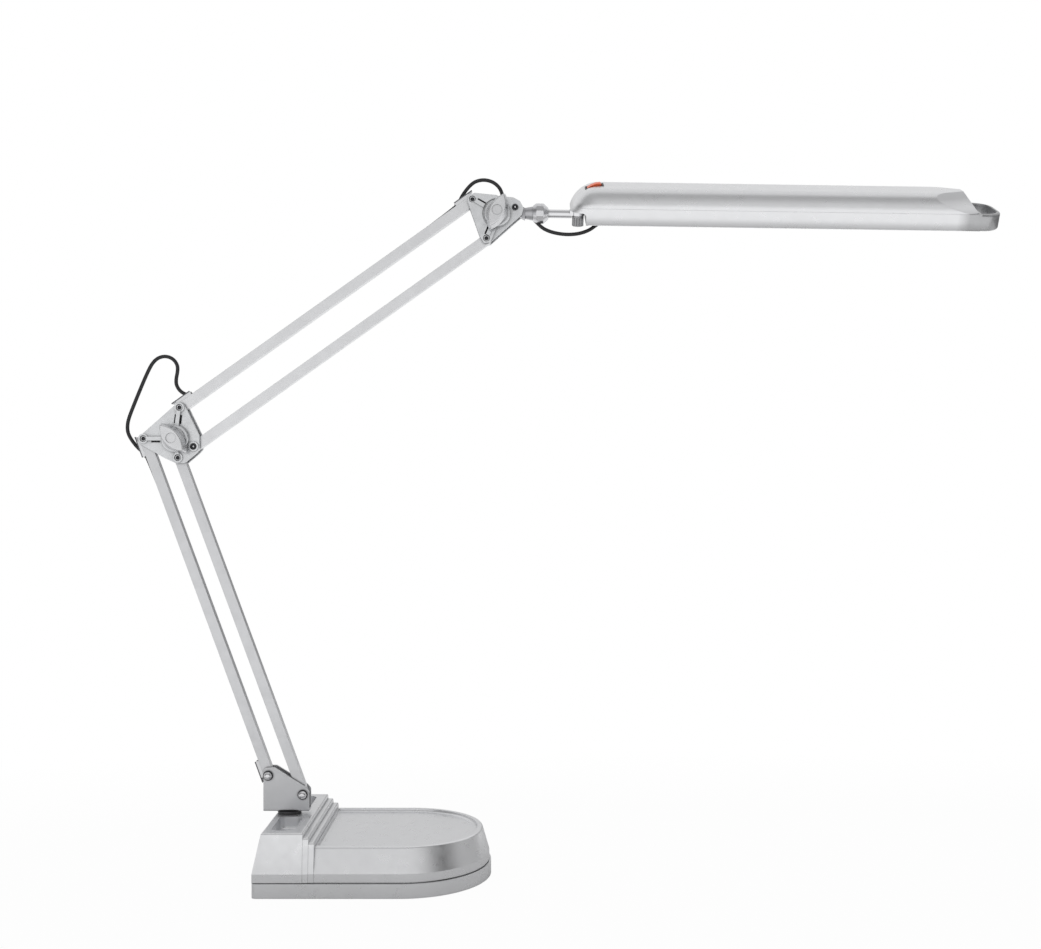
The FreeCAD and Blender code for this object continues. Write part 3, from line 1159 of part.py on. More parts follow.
elbow_split = (-5.5, 51)
elbow_low = beyond(LOWER_PLACE)
elbow_low += beside(ELBOW_REAR, [(-19.2, 15), (-14.8, 28.5), elbow_split])
elbow_high = beside(ELBOW_REAR, [
    elbow_split, (2.6, 70.6), (9.3, 80.9), (17.1, 84.6), (24.7, 83.7), (30.5, 79.2), (33.2, 72.2),
    (30.3, 58.4), (32.8, 51.4), (38.2, 46.4), (45.2, 44.6), (53.1, 46.4),
])
elbow_high.append(UPPER_PLACE.multVec(channel_route(size.cord_turn)[0]))
head_joint = beyond(UPPER_PLACE)
head_joint += beside(HEAD_TOP, [(9, 22.2), (20, 20.3), (28, 13.5), (31, 4), (31, -11.5)])
for label, points in (("elbow_cord_lower", elbow_low), ("elbow_cord_upper", elbow_high),
                      ("head_joint_cord", head_joint), ("head_cord", HEAD_CORD)):
    named(label, tube(label, points))

# Check and export
doc.recompute()
failed = [item.Name for item in doc.Objects if {"Invalid", "Error"} & set(item.State)]
if failed:
    raise RuntimeError(f"failed objects: {failed}")
os.makedirs("parts", exist_ok=True)
for label, item in parts.items():
    shape = item.Shape
    if shape.isNull() or not shape.isValid() or not shape.Solids:
        raise RuntimeError(f"bad shape: {label}")
    shape.exportStep(f"parts/{label}.step")
print(len(parts), "parts", sum(len(item.Shape.Solids) for item in parts.values()), "solids")
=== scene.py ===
import json
import math

import bmesh
import bpy
from mathutils import Matrix, Vector


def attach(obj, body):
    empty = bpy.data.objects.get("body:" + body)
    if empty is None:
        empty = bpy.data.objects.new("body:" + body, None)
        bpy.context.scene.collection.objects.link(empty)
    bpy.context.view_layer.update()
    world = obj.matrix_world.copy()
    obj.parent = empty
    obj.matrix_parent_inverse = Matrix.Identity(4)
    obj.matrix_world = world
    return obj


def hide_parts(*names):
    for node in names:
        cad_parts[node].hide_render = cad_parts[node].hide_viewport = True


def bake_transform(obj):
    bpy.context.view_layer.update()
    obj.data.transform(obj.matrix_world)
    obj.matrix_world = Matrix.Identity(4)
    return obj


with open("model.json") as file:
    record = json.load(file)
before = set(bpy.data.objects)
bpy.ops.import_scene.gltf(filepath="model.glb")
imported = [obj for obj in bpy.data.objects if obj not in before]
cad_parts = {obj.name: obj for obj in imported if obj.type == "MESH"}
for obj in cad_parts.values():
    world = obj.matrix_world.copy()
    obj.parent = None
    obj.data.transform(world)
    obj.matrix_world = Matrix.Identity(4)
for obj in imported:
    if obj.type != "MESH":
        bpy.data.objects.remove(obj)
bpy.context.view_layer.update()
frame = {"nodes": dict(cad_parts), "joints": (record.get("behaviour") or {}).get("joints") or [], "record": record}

JOINTS = {joint["name"]: joint for joint in frame["joints"]}


def pivot(joint):
    """Where a joint's axis passes, in metres."""
    return Vector(JOINTS[joint]["pos_m"])


def at(origin, points):
    """Points of the arms' plane, as (x, z) in metres from an origin."""
    return [origin + Vector((x, 0, z)) for x, z in points]


# Camera: level, a little above the elbow, with the frame shifted so that the base keeps its place
# in the picture
CAMERA_AT = (0.1435, -1.276, 0.3808)
LENS = 43.23
SENSOR = 36
FRAME_SHIFT = 0.0245
CLIP = (0.05, 60)


def make_camera():
    """The camera, level and square to the lamp's side."""
    data = bpy.data.cameras.new("camera")
    data.lens = LENS
    data.sensor_width = SENSOR
    data.shift_y = FRAME_SHIFT
    data.clip_start, data.clip_end = CLIP
    camera = bpy.data.objects.new("camera", data)
    camera.location = CAMERA_AT
    camera.rotation_euler = (math.radians(90), 0, 0)
    bpy.context.scene.collection.objects.link(camera)
    bpy.context.scene.camera = camera


# Cords: the same control points as in the part's source, in metres
CORD = 0.0037
ARM = 0.3645
LOWER_ANGLE = math.radians(110.3)
UPPER_ANGLE = math.radians(35.4)
CORD_DEEP = 0.0025
RAMP = ((ARM - 0.018, CORD_DEEP), (ARM - 0.008, 0.0099), (ARM - 0.002, 0.012))
CORD_REACH = 0.0115
CORD_STEPS = 16
CORD_SIDES = 20


def on_bar(joint, angle, points):
    """Points of a bar's own frame: along the bar, and out of its open side."""
    along = Vector((math.cos(angle), 0, math.sin(angle)))
    open_side = Vector((-along.z, 0, along.x))
    return [pivot(joint) + along * u + open_side * p for u, p in points]


def beyond(joint, angle):
    """Where the cord leaves a bar's far end, and a point further on along the same line."""
    knee, leave = on_bar(joint, angle, RAMP[-2:])
    return [leave, leave + (leave - knee).normalized() * CORD_REACH]


ELBOW = pivot("elbow_follow")
HEAD_JOINT = pivot("head_joint_follow")
SWING = pivot("head_swing")
HEAD_ALONG = Vector(JOINTS["head_roll"]["axis"])
HEAD_UP = Vector(JOINTS["head_swing"]["axis"])
HEAD_AXES = Matrix((HEAD_ALONG, HEAD_UP.cross(HEAD_ALONG), HEAD_UP)).transposed()


def in_head(x, y, z):
    """A point of the head's own frame: along it, across it and up through its roof."""
    return SWING + HEAD_AXES @ Vector((x, y, z))


ELBOW_SPLIT = (-0.0055, 0.051)
UPPER_TURN = (0.033, CORD_DEEP)
ROUTES = {
    "lower_channel_cord": on_bar("lower_arm_lean", LOWER_ANGLE, ((0.010, CORD_DEEP), *RAMP)),
    "upper_channel_cord": on_bar("upper_arm_lift", UPPER_ANGLE, (UPPER_TURN, *RAMP)),
    "elbow_cord_lower": beyond("lower_arm_lean", LOWER_ANGLE)
    + at(ELBOW, ((-0.0192, 0.015), (-0.0148, 0.0285), ELBOW_SPLIT)),
    "elbow_cord_upper": at(ELBOW, (
        ELBOW_SPLIT, (0.0026, 0.0706), (0.0093, 0.0809), (0.0171, 0.0846), (0.0247, 0.0837),
        (0.0305, 0.0792), (0.0332, 0.0722), (0.0303, 0.0584), (0.0328, 0.0514), (0.0382, 0.0464),
        (0.0452, 0.0446), (0.0531, 0.0464),
    )) + on_bar("upper_arm_lift", UPPER_ANGLE, (UPPER_TURN,)),
    "head_joint_cord": beyond("upper_arm_lift", UPPER_ANGLE)
    + at(HEAD_JOINT, (
        (0.009, 0.0222), (0.020, 0.0203), (0.028, 0.0135), (0.031, 0.004), (0.031, -0.0115))),
    "head_cord": [SWING + Vector(step) for step in (
        (-0.0443, 0, -0.006), (-0.0382, 0, -0.0131), (-0.0297, 0, -0.0175), (-0.0197, 0, -0.020),
        (-0.0088, 0, -0.0209), (0.0023, 0, -0.0197), (0.0123, 0.0003, -0.0159), (0.0198, 0.001, -0.0099),
    )] + [in_head(0.0265, 0, -0.00611)],
}
# Each cord that lies in a bar: the body of the bar
HELD = {"lower_channel_cord": "lower_rear_arm", "upper_channel_cord": "upper_top_arm"}


def spline_points(name, points):
    """Points along the smooth line that has these control points."""
    data = bpy.data.curves.new(name + "_line", "CURVE")
    data.dimensions = "3D"
    data.resolution_u = CORD_STEPS
    spline = data.splines.new("NURBS")
    spline.points.add(len(points) - 1)
    for control, place in zip(spline.points, points):
        control.co = (*place, 1)
    spline.order_u = 3
    spline.use_endpoint_u = True
    line = bpy.data.objects.new(name + "_line", data)
    mesh = bpy.data.meshes.new_from_object(line)
    found = [vertex.co.copy() for vertex in mesh.vertices]
    bpy.data.objects.remove(line)
    bpy.data.meshes.remove(mesh)
    return found


def circle(sides):
    """The cosine and sine at each corner of a round outline."""
    turns = [2 * math.pi * n / sides for n in range(sides)]
    return [(math.cos(a), math.sin(a)) for a in turns]


def skin(made, ring, following):
    """The faces between two rings of corners."""
    sides = len(ring)
    for n in range(sides):
        made.faces.new((ring[n], ring[(n + 1) % sides], following[(n + 1) % sides], following[n]))


def tube(name, path, radius):
    """A round mesh tube along a path, closed at both ends."""
    made = bmesh.new()
    rings = []
    for number, place in enumerate(path):
        before = path[max(number - 1, 0)]
        after = path[min(number + 1, len(path) - 1)]
        forward = (after - before).normalized()
        side = Vector((0, 1, 0)) - forward * forward.y
        side.normalize()
        up = forward.cross(side)
        rings.append([made.verts.new(place + (side * c + up * s) * radius) for c, s in circle(CORD_SIDES)])
    for ring, following in zip(rings, rings[1:]):
        skin(made, ring, following)
    made.faces.new(list(reversed(rings[0])))
    made.faces.new(rings[-1])
    bmesh.ops.recalc_face_normals(made, faces=made.faces)
    return shown(name, made)


# A face with this many corners or more is a flat end, and isn't smoothed
FLAT_END = 8


def shown(name, made, smooth=True):
    """A bmesh as an object of the scene."""
    mesh = bpy.data.meshes.new(name)
    made.to_mesh(mesh)
    made.free()
    for face in mesh.polygons:
        face.use_smooth = smooth and len(face.vertices) < FLAT_END
    piece = bpy.data.objects.new(name, mesh)
    bpy.context.scene.collection.objects.link(piece)
    return piece


def make_cords(sheath):
    """Each cord as a smooth tube, in place of the solid of the same name."""
    for name, points in ROUTES.items():
        path = spline_points(name, points)
        piece = tube(name + "_line", path, CORD / 2)
        piece.data.materials.append(sheath)
        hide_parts(name)
        if name in HELD:
            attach(piece, HELD[name])
            continue
        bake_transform(piece)


# Node trees
class Tree:
    """The node tree of a material or a world, built one node at a time."""

    def __init__(self, owner):
        owner.use_nodes = True
        self.tree = owner.node_tree
        self.tree.nodes.clear()

    def add(self, kind, **settings):
        node = self.tree.nodes.new("ShaderNode" + kind)
        for setting, value in settings.items():
            setattr(node, setting, value)
        return node

    def join(self, start, end):
        self.tree.links.new(start, end)

    def put(self, socket, value):
        """Links a socket, or writes a number or colour into it."""
        if isinstance(value, bpy.types.NodeSocket):
            self.join(value, socket)
        else:
            socket.default_value = value

    def feed(self, node, **inputs):
        """Sets a node's inputs by name."""
        for name, value in inputs.items():
            self.put(node.inputs[name.replace("_", " ")], value)
        return node

    def maths(self, operation, first, second):
        node = self.add("Math", operation=operation)
        self.put(node.inputs[0], first)
        self.put(node.inputs[1], second)
        return node.outputs[0]

    def dot(self, first, second):
        node = self.add("VectorMath", operation="DOT_PRODUCT")
        self.put(node.inputs[0], first)
        self.put(node.inputs[1], second)
        return node.outputs["Value"]

    def blend(self, share, first, second):
        """A colour between two others."""
        node = self.add("Mix", data_type="RGBA")
        for number, value in ((0, share), (6, first), (7, second)):
            self.put(node.inputs[number], value)
        return node.outputs[2]

    def mix(self, share, first, second):
        """A number between two others."""
        node = self.add("Mix", data_type="FLOAT")
        for number, value in ((0, share), (2, first), (3, second)):
            self.put(node.inputs[number], value)
        return node.outputs[0]

    def spread(self, value, low, high, start=0.3, end=0.7):
        """A number from low to high while the value goes from start to end."""
        node = self.add("MapRange")
        self.feed(node, Value=value, From_Min=start, From_Max=end, To_Min=low, To_Max=high)
        return node.outputs[0]

    def smooth(self, value, start, end):
        """A soft step from 0 to 1 between two values."""
        node = self.add("MapRange", interpolation_type="SMOOTHSTEP")
        self.feed(node, Value=value, From_Min=start, From_Max=end)
        return node.outputs[0]

    def ramp(self, value, stops):
        """A level that follows a value through the stops."""
        low, high = stops[0][0], stops[-1][0]
        node = self.add("ValToRGB")
        node.color_ramp.interpolation = "EASE"
        self.join(self.spread(value, 0.0, 1.0, low, high), node.inputs[0])
        elements = node.color_ramp.elements
        while len(elements) < len(stops):
            elements.new(0.5)
        for element, (stop, level) in zip(elements, stops):
            element.position = (stop - low) / (high - low)
            element.color = (level, level, level, 1)
        return node.outputs[0]


class Surface(Tree):
    """A material's tree, with its shader and the place of each point."""

    def __init__(self, name):
        self.material = bpy.data.materials.new(name)
        super().__init__(self.material)
        self.out = self.add("OutputMaterial")
        self.shader = self.add("BsdfPrincipled")
        self.join(self.shader.outputs[0], self.out.inputs[0])
        self.place = self.add("TexCoord").outputs["Object"]

    def noise(self, scale, stretch=(1, 1, 1), detail=2.0):
        mapping = self.feed(self.add("Mapping"), Vector=self.place, Scale=stretch)
        node = self.feed(self.add("TexNoise"), Vector=mapping.outputs[0], Scale=scale, Detail=detail)
        return node.outputs["Fac"]

    def raised(self, height, normal, distance):
        """The normal of a surface that is raised by a height."""
        node = self.feed(self.add("Bump"), Height=height, Normal=normal, Strength=1.0, Distance=distance)
        return node.outputs[0]

    def along(self, axis):
        """How far a point lies from the head's origin along an axis."""
        offset = self.add("VectorMath", operation="SUBTRACT")
        self.join(self.place, offset.inputs[0])
        offset.inputs[1].default_value = SWING
        return self.dot(offset.outputs[0], axis)

    def worn_and_highlit_edges(self, soft, most):
        """How much an edge is lightened, partly as worn paint and partly as a painted highlight: where the
        softened normal turns away at an edge, in patches.
        """
        flat = self.dot(soft, self.add("NewGeometry").outputs["Normal"])
        rim = self.spread(flat, most, 0.0, *EDGE_TURN)
        patchy = self.spread(self.noise(WEAR_AND_HIGHLIGHT_PATCHES, detail=5), 0.0, 1.0, *WEAR_AND_HIGHLIGHT_SPREAD)
        return self.maths("MULTIPLY", rim, patchy)

    def recesses(self, most, reach):
        """Painted shade: how much darker the colour is made where other faces lie within reach."""
        recess = self.add("AmbientOcclusion", samples=6)
        recess.inputs["Distance"].default_value = reach
        return self.spread(recess.outputs["AO"], most, 0.0, *RECESS_SPREAD)

    def bulge(self, place, turns):
        """A height whose slope turns a face by the given degrees at each place."""
        low, high = turns[0][0], turns[-1][0]
        heights = bulge_heights(turns)
        lowest = min(heights)
        span = max(heights) - lowest
        node = self.add("FloatCurve")
        self.join(self.spread(place, 0.0, 1.0, low, high), node.inputs["Value"])
        points = node.mapping.curves[0].points
        while len(points) < len(heights):
            points.new(0.5, 0.5)
        for number, (point, height) in enumerate(zip(points, heights)):
            point.location = (number / BULGE_STEPS, (height - lowest) / span)
        node.mapping.update()
        return self.maths("MULTIPLY", node.outputs[0], span)


# The head's gentle curves: how many degrees a face turns at each place, in metres, along an axis
BARREL = (HEAD_UP, (
    (-0.005, -18), (0.0, -10), (0.005, 0), (0.010, 2), (0.014, 12), (0.017, 20), (0.021, 10),
    (0.025, 0), (0.03, 0)))
LOOP_END = (HEAD_ALONG, ((0.376, 0), (0.390, 25), (0.426, 25)))
# Painted shade: the loop is coloured darker than the rest of its band, where its surface curves away: axis, start,
# end and share of the colour
LOOP_END_SHADE = (HEAD_ALONG, 0.378, 0.390, 0.62)
BULGE_STEPS = 24


def bulge_heights(turns):
    """The heights at even steps along a curve that is given by its turns."""
    low, high = turns[0][0], turns[-1][0]
    step = (high - low) / BULGE_STEPS
    heights = [0.0]
    for number in range(BULGE_STEPS):
        middle = low + (number + 0.5) * step
        for (start, first), (end, second) in zip(turns, turns[1:]):
            if start <= middle <= end:
                turn = first + (second - first) * (middle - start) / (end - start)
        heights.append(heights[-1] - step * math.tan(math.radians(turn)))
    return heights


# Finishes. An edge is where the softened normal and the face's own agree by this much or less
EDGE_TURN = (0.80, 0.985)
# The patches and spread of the edge lightening, partly worn paint and partly a painted highlight
WEAR_AND_HIGHLIGHT_PATCHES = 140
WEAR_AND_HIGHLIGHT_SPREAD = (0.42, 0.6)
WORN_GLOSS = 0.12
RECESS_SPREAD = (0.35, 0.9)
# Painted shade: the share of its colour that a recess's darkening goes toward
RECESS_SHADE_TONE = 0.12
# Patches of gloss are this many times finer than patches of tone
GLOSS_FINER = 6


def shade(colour, share):
    """A colour made lighter or darker."""
    return (*[min(1.0, part * share) for part in colour[:3]], 1)


def finish(name, colour, metallic, roughness, uneven=0.05, tone=0.02, patch=18, grain=900, depth=1e-5,
           stretch=(1, 1, 1), edge=0.0, edge_wear_and_highlight=1.25, round_edge=3e-4, recess_shade=0.35, reach=2.5e-3,
           forms=(), painted_shades=(), coat=0.0):
    """A surface with patches of tone, uneven gloss, fine grain, edges lightened in patches (partly worn paint,
    partly a painted highlight) and painted shade in its recesses.
    """
    tree = Surface(name)
    soft = tree.feed(tree.add("Bevel", samples=4), Radius=round_edge).outputs[0]
    tint = tree.blend(tree.noise(patch, detail=4), shade(colour, 1 - tone), shade(colour, 1 + tone))
    # Painted shade: along an axis the colour goes toward a darker share of itself
    for axis, start, end, share in painted_shades:
        shade_share = tree.spread(tree.along(axis), 0.0, 1.0, start, end)
        tint = tree.blend(shade_share, tint, shade(colour, share))
    gloss = tree.noise(patch * GLOSS_FINER, stretch, 3)
    rough = tree.spread(gloss, roughness - uneven, roughness + uneven)
    if edge:
        # Edges lightened in patches: partly worn paint, partly a painted highlight
        worn = tree.worn_and_highlit_edges(soft, edge)
        tint = tree.blend(worn, tint, shade(colour, edge_wear_and_highlight))
        rough = tree.maths("SUBTRACT", rough, tree.maths("MULTIPLY", worn, WORN_GLOSS))
    # Painted shade: the colour darkens where other faces lie close, in recesses and joints
    tint = tree.blend(tree.recesses(recess_shade, reach), tint, shade(colour, RECESS_SHADE_TONE))
    for axis, turns in forms:
        soft = tree.raised(tree.bulge(tree.along(axis), turns), soft, 1.0)
    soft = tree.raised(tree.noise(grain, stretch), soft, depth)
    tree.feed(tree.shader, Base_Color=tint, Roughness=rough, Normal=soft, Metallic=metallic)
    if coat:
        tree.feed(tree.shader, Coat_Weight=1.0, Coat_Roughness=coat)
    return tree.material


HEAD_PAINT = ((0.83, 0.835, 0.85), 0.92, 0.31)
# Each finish: the name of its material, its colour, metalness and roughness, and what else it has
FINISHES = {
    "silver_cast": (("silver_cast_paint", (0.74, 0.75, 0.765), 0.9, 0.36), dict(
        tone=0.15, patch=110, grain=600, depth=4e-5, edge=0.6, edge_wear_and_highlight=1.35, recess_shade=0.7, reach=4e-3)),
    "silver_plastic": (("silver_plastic_paint", *HEAD_PAINT), dict(
        grain=1400, depth=8e-6, round_edge=2e-4, recess_shade=0.6)),
    "silver_steel": (("silver_steel_paint", (0.78, 0.785, 0.80), 0.9, 0.36), dict(
        tone=0.03, grain=1200, depth=1.2e-5, edge=0.5, round_edge=4e-4, recess_shade=0.6)),
    "bright_steel": (("bright_steel_plate", (0.80, 0.80, 0.82), 1.0, 0.14), dict(
        grain=600, depth=8e-6, edge=0.2, round_edge=2e-4, recess_shade=0.8)),
    "plain_steel": (("plain_steel_turned", (0.46, 0.46, 0.48), 1.0, 0.34), dict(
        tone=0.12, grain=500, stretch=(1, 1, 8), edge=0.4, round_edge=2e-4)),
    "dark_metal": (("dark_metal_satin", (0.07, 0.07, 0.075), 0.8, 0.34), dict(
        tone=0.12, edge=0.6, edge_wear_and_highlight=2.5, recess_shade=0.8)),
    "collar_metal": (("collar_metal_satin", (0.70, 0.70, 0.72), 0.95, 0.26), dict(
        uneven=0.08, tone=0.16, patch=90, edge=0.6, edge_wear_and_highlight=1.5, recess_shade=0.8)),
    "dark_plastic": (("dark_plastic_moulded", (0.045, 0.045, 0.05), 0.0, 0.48), dict(
        tone=0.2, grain=1600, depth=2e-5, edge=0.3, edge_wear_and_highlight=2.0)),
    "white_plastic": (("white_plastic_moulded", (0.8, 0.8, 0.79), 0.0, 0.36), dict(
        tone=0.03, grain=1500, depth=1e-5, edge=0.1)),
    "pad_foam": (("pad_foam_cells", (0.05, 0.05, 0.05), 0.0, 0.85), dict(
        tone=0.25, grain=1100, depth=1.2e-4)),
    "ballast_iron": (("ballast_iron_cast", (0.16, 0.155, 0.15), 0.6, 0.62), dict(
        tone=0.3, patch=40, grain=450, depth=1.5e-4)),
    "cord_black": (("cord_black_sheath", (0.012, 0.012, 0.014), 0.0, 0.4), dict(
        tone=0.25, patch=60, grain=1500, depth=1e-5)),
    "reflector_white": (("reflector_white_enamel", (0.88, 0.88, 0.87), 0.0, 0.22), dict(
        tone=0.02, grain=500, depth=8e-6, edge=0.15, edge_wear_and_highlight=0.8)),
    "tube_glass": (("tube_glass_coated", (0.86, 0.87, 0.86), 0.0, 0.24), dict(
        tone=0.03, patch=30, grain=300, depth=3e-6, coat=0.03)),
    "switch_red": (("switch_red_moulded", (0.76, 0.11, 0.025), 0.0, 0.22), dict(
        tone=0.06, grain=1200, depth=1e-5, edge=0.2, edge_wear_and_highlight=1.3)),
    "neck_metal": (("neck_metal_satin", (0.50, 0.50, 0.52), 0.9, 0.33), dict(
        tone=0.12, edge=0.6, edge_wear_and_highlight=1.8, recess_shade=0.8)),
    "nut_metal": (("nut_metal_satin", (0.42, 0.42, 0.43), 0.7, 0.36), dict(
        tone=0.15, patch=60, edge=0.8, edge_wear_and_highlight=1.9, recess_shade=0.9, reach=1.5e-3)),
    "head_silver": (("head_silver_paint", *HEAD_PAINT), dict(
        grain=1400, depth=8e-6, round_edge=2e-4, recess_shade=0.6, forms=(BARREL,))),
    "frame_silver": (("frame_silver_paint", *HEAD_PAINT), dict(
        grain=1400, depth=8e-6, round_edge=4e-4, recess_shade=0.8, reach=8e-3, forms=(BARREL, LOOP_END),
        painted_shades=(LOOP_END_SHADE,))),
    "knob_silver": (("knob_silver_paint", (0.73, 0.735, 0.75), 0.9, 0.34), dict(
        tone=0.1, patch=90, grain=900, depth=2e-5, edge=0.4, round_edge=4e-4, recess_shade=0.7, reach=4e-3)),
    "bracket_steel": (("bracket_steel_paint", (0.62, 0.625, 0.64), 0.9, 0.36), dict(
        tone=0.06, patch=40, grain=1200, depth=1.2e-5, edge=0.5, round_edge=4e-4, recess_shade=0.7)),
    "bar_steel": (("bar_steel_paint", (0.68, 0.685, 0.70), 0.9, 0.36), dict(
        tone=0.04, grain=1200, depth=1.2e-5, edge=0.5, round_edge=4e-4, recess_shade=0.6)),
    # Painted shade: the dark finish of the strips on the straps' shaded outer faces
    "guide_edge_shade": (("guide_edge_painted_shade", (0.16, 0.16, 0.17), 0.8, 0.36), dict(
        tone=0.15, patch=60, edge=0.8, edge_wear_and_highlight=2.4, recess_shade=0.7)),
}
# The nodes that look unlike the rest of their slot
OWN_FINISH = {
    "tilt_neck": "neck_metal", "clamp_nut": "nut_metal", "head_shell": "head_silver",
    "head_frame": "frame_silver", "elbow_knob": "knob_silver", "head_joint_knob": "knob_silver",
    "bracket": "bracket_steel", "lower_rear_bar": "bar_steel", "lower_front_bar": "bar_steel",
}


def dress_nodes(finishes):
    """Each CAD node gets the finish of its slot, or its own."""
    for subpart in frame["record"]["subparts"]:
        piece = frame["nodes"][subpart["node"]]
        material = finishes[OWN_FINISH.get(subpart["node"], subpart["material_slot"])]
        if not piece.material_slots:
            piece.data.materials.append(material)
        for place in piece.material_slots:
            place.material = material


# Small pieces, all placed from the joints' axes
# Painted shade on the straps: where the dark strips reach along each bar, and how far out and across they lie
GUIDE_SHADE_SPANS = ((-0.0051, 0.0171), (0.3474, 0.3696))
SHADE_STRIP_OUT = (0.0079, 0.0091)
SHADE_STRIP_ACROSS = (0.0032, 0.0046)
SHADE_STRIP_ROUND = 2e-4
NEAR_AND_FAR = (("near", -1), ("far", 1))


def dressed(piece, finish_name, body):
    """Gives a piece its finish and the body that it rides on."""
    piece.data.materials.append(made_finishes[finish_name])
    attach(piece, body)


def plate(name, outline, across, rounding=0.0):
    """A flat piece: an outline in the arms' plane, between two distances across it."""
    made = bmesh.new()
    for corner in outline:
        for offset in across:
            made.verts.new(corner + Vector((0, offset, 0)))
    bmesh.ops.convex_hull(made, input=made.verts)
    bmesh.ops.dissolve_limit(made, angle_limit=0.01, verts=made.verts, edges=made.edges)
    if rounding:
        bmesh.ops.bevel(made, geom=made.edges, offset=rounding, segments=2, profile=0.5, affect="EDGES")
    bmesh.ops.recalc_face_normals(made, faces=made.faces)
    return shown(name, made, smooth=bool(rounding))


def guide_shade_strips():
    """Painted shade: dark strips along the outer edges of the straps that hold the cord in its bars, where their
    outer faces lie in shade.
    """
    for arm, joint, angle, body in (("lower", "lower_arm_lean", LOWER_ANGLE, "lower_rear_arm"),
                                    ("upper", "upper_arm_lift", UPPER_ANGLE, "upper_top_arm")):
        for number, reach in enumerate(GUIDE_SHADE_SPANS, 1):
            outline = on_bar(joint, angle, [(u, p) for u in reach for p in SHADE_STRIP_OUT])
            for side, sign in NEAR_AND_FAR:
                across = [sign * offset for offset in SHADE_STRIP_ACROSS]
                shade_strip = plate(f"{arm}_guide_rail_{side}_{number}", outline, across, SHADE_STRIP_ROUND)
                dressed(shade_strip, "guide_edge_shade", body)


def opened(follow, far, near):
    """The pivot at which a closed linkage was opened: the parallelogram's fourth corner."""
    return pivot(follow) + pivot(far) - pivot(near)


# The screwed pivots of the castings: their body and their place
SCREWS = {
    "elbow_low": ("elbow", pivot("elbow_follow")),
    "elbow_front": ("elbow", opened("lower_front_follow", "elbow_follow", "lower_arm_lean")),
    "elbow_high": ("elbow", pivot("upper_arm_lift")),
    "head_high": ("head_joint", pivot("head_joint_follow")),
    "head_low": ("head_joint", opened("upper_bottom_follow", "head_joint_follow", "upper_arm_lift")),
}
SLOT_LENGTH = 0.009
SLOT_WIDTH = 0.0018
RIB_WIDTH = 0.004
# Painted shade: how far across from the arms' plane the dark plates in the slots lie
SLOT_SHADE_PLATE_DEPTH = (0.0057, 0.0060)
# The castings' slots: the joint at the hub, the hub's radius, and the screw and side of each rib
HUBS = {
    "elbow": ("elbow_knob_turn", 0.0138, (("elbow_low", 1), ("elbow_high", 1), ("elbow_high", -1))),
    "head_joint": ("head_knob_turn", 0.0134, (("head_high", -1), ("head_low", -1))),
}


def slot_outline(hub, radius, screw, side):
    """The corners of the slot that runs beside the rib from a hub to a screw."""
    run = (screw - hub).normalized()
    beside = Vector((-run.z, 0, run.x))
    near_end = radius + SLOT_WIDTH
    middle = side * (RIB_WIDTH + SLOT_WIDTH) / 2
    return [hub + run * u + beside * p for u in (near_end, near_end + SLOT_LENGTH)
            for p in (middle - SLOT_WIDTH / 2, middle + SLOT_WIDTH / 2)]


def slot_shade_plates():
    """Painted shade: dark plates at the bottom of the narrow slots beside the castings' ribs, where the slots show
    only shade.
    """
    for body, (hub, radius, slots) in HUBS.items():
        for number, (screw, side) in enumerate(slots, 1):
            outline = slot_outline(pivot(hub), radius, SCREWS[screw][1], side)
            for face, sign in NEAR_AND_FAR:
                across = [sign * y for y in SLOT_SHADE_PLATE_DEPTH]
                floor = plate(f"{body}_slot_floor_{face}_{number}", outline, across)
                dressed(floor, "dark_metal", body)


# Turned pieces: radius, and distance in front of the face that carries them
PIVOT_RING = ((0.0016, -0.0004), (0.0018, 0.0005), (0.0024, 0.0009), (0.0030, 0.0005), (0.0032, -0.0004))
RIVET_END = ((0.0002, -0.0004), (0.0002, 0.0009), (0.0007, 0.0008), (0.0012, 0.0004), (0.0014, -0.0004))
WORN_RIM = ((0.0019, -0.0002), (0.0021, 0.0001), (0.0026, 0.0002), (0.0031, 0), (0.0031, -0.0002))
NUT_DARK_RING = ((0.00425, -0.0003), (0.00425, 0.0003), (0.0046, 0.0005), (0.0051, 0.0003), (0.0051, -0.0003))
TURNED_SIDES = 40
# How far in front of the arms' plane those faces lie
CASTING_FACE = 0.0086
LOBE_FACE = 0.0084
NUT_FLANGE_FACE = 0.0082


def turned(name, centre, face, profile):
    """A ring turned about the line across the arms."""
    made = bmesh.new()
    rings = []
    for radius, proud in profile:
        front = face + proud
        rings.append([made.verts.new(centre + Vector((radius * c, -front, radius * s)))
                      for c, s in circle(TURNED_SIDES)])
    for ring, following in zip(rings, rings[1:] + rings[:1]):
        skin(made, ring, following)
    bmesh.ops.recalc_face_normals(made, faces=made.faces)
    return shown(name, made)


def ring_nuts():
    """The dark ring nuts with a bright rivet end, at the elbow's front and at the neck's pivot."""
    for name, joint, face, body in (("elbow", "upper_bottom_follow", CASTING_FACE, "elbow"),
                                    ("neck", "head_tilt", LOBE_FACE, "head_joint")):
        ring = turned(name + "_pivot_ring", pivot(joint), face, PIVOT_RING)
        dressed(ring, "dark_metal", body)
        rivet = turned(name + "_rivet_end", pivot(joint), face, RIVET_END)
        dressed(rivet, "bright_steel", body)


def screw_rims():
    """The bright worn rim round the dark middle of each pivot screw."""
    for name, (body, centre) in SCREWS.items():
        rim = turned(name + "_rim", centre, CASTING_FACE, WORN_RIM)
        dressed(rim, "silver_cast", body)


def nut_dark_rings():
    """A dark ring on the flange round each cap nut of the bracket."""
    for name, joint in (("rear", "lower_arm_lean"), ("front", "lower_front_follow")):
        dark_ring = turned(name + "_nut_dark_ring", pivot(joint), NUT_FLANGE_FACE, NUT_DARK_RING)
        dressed(dark_ring, "dark_metal", "swivel")


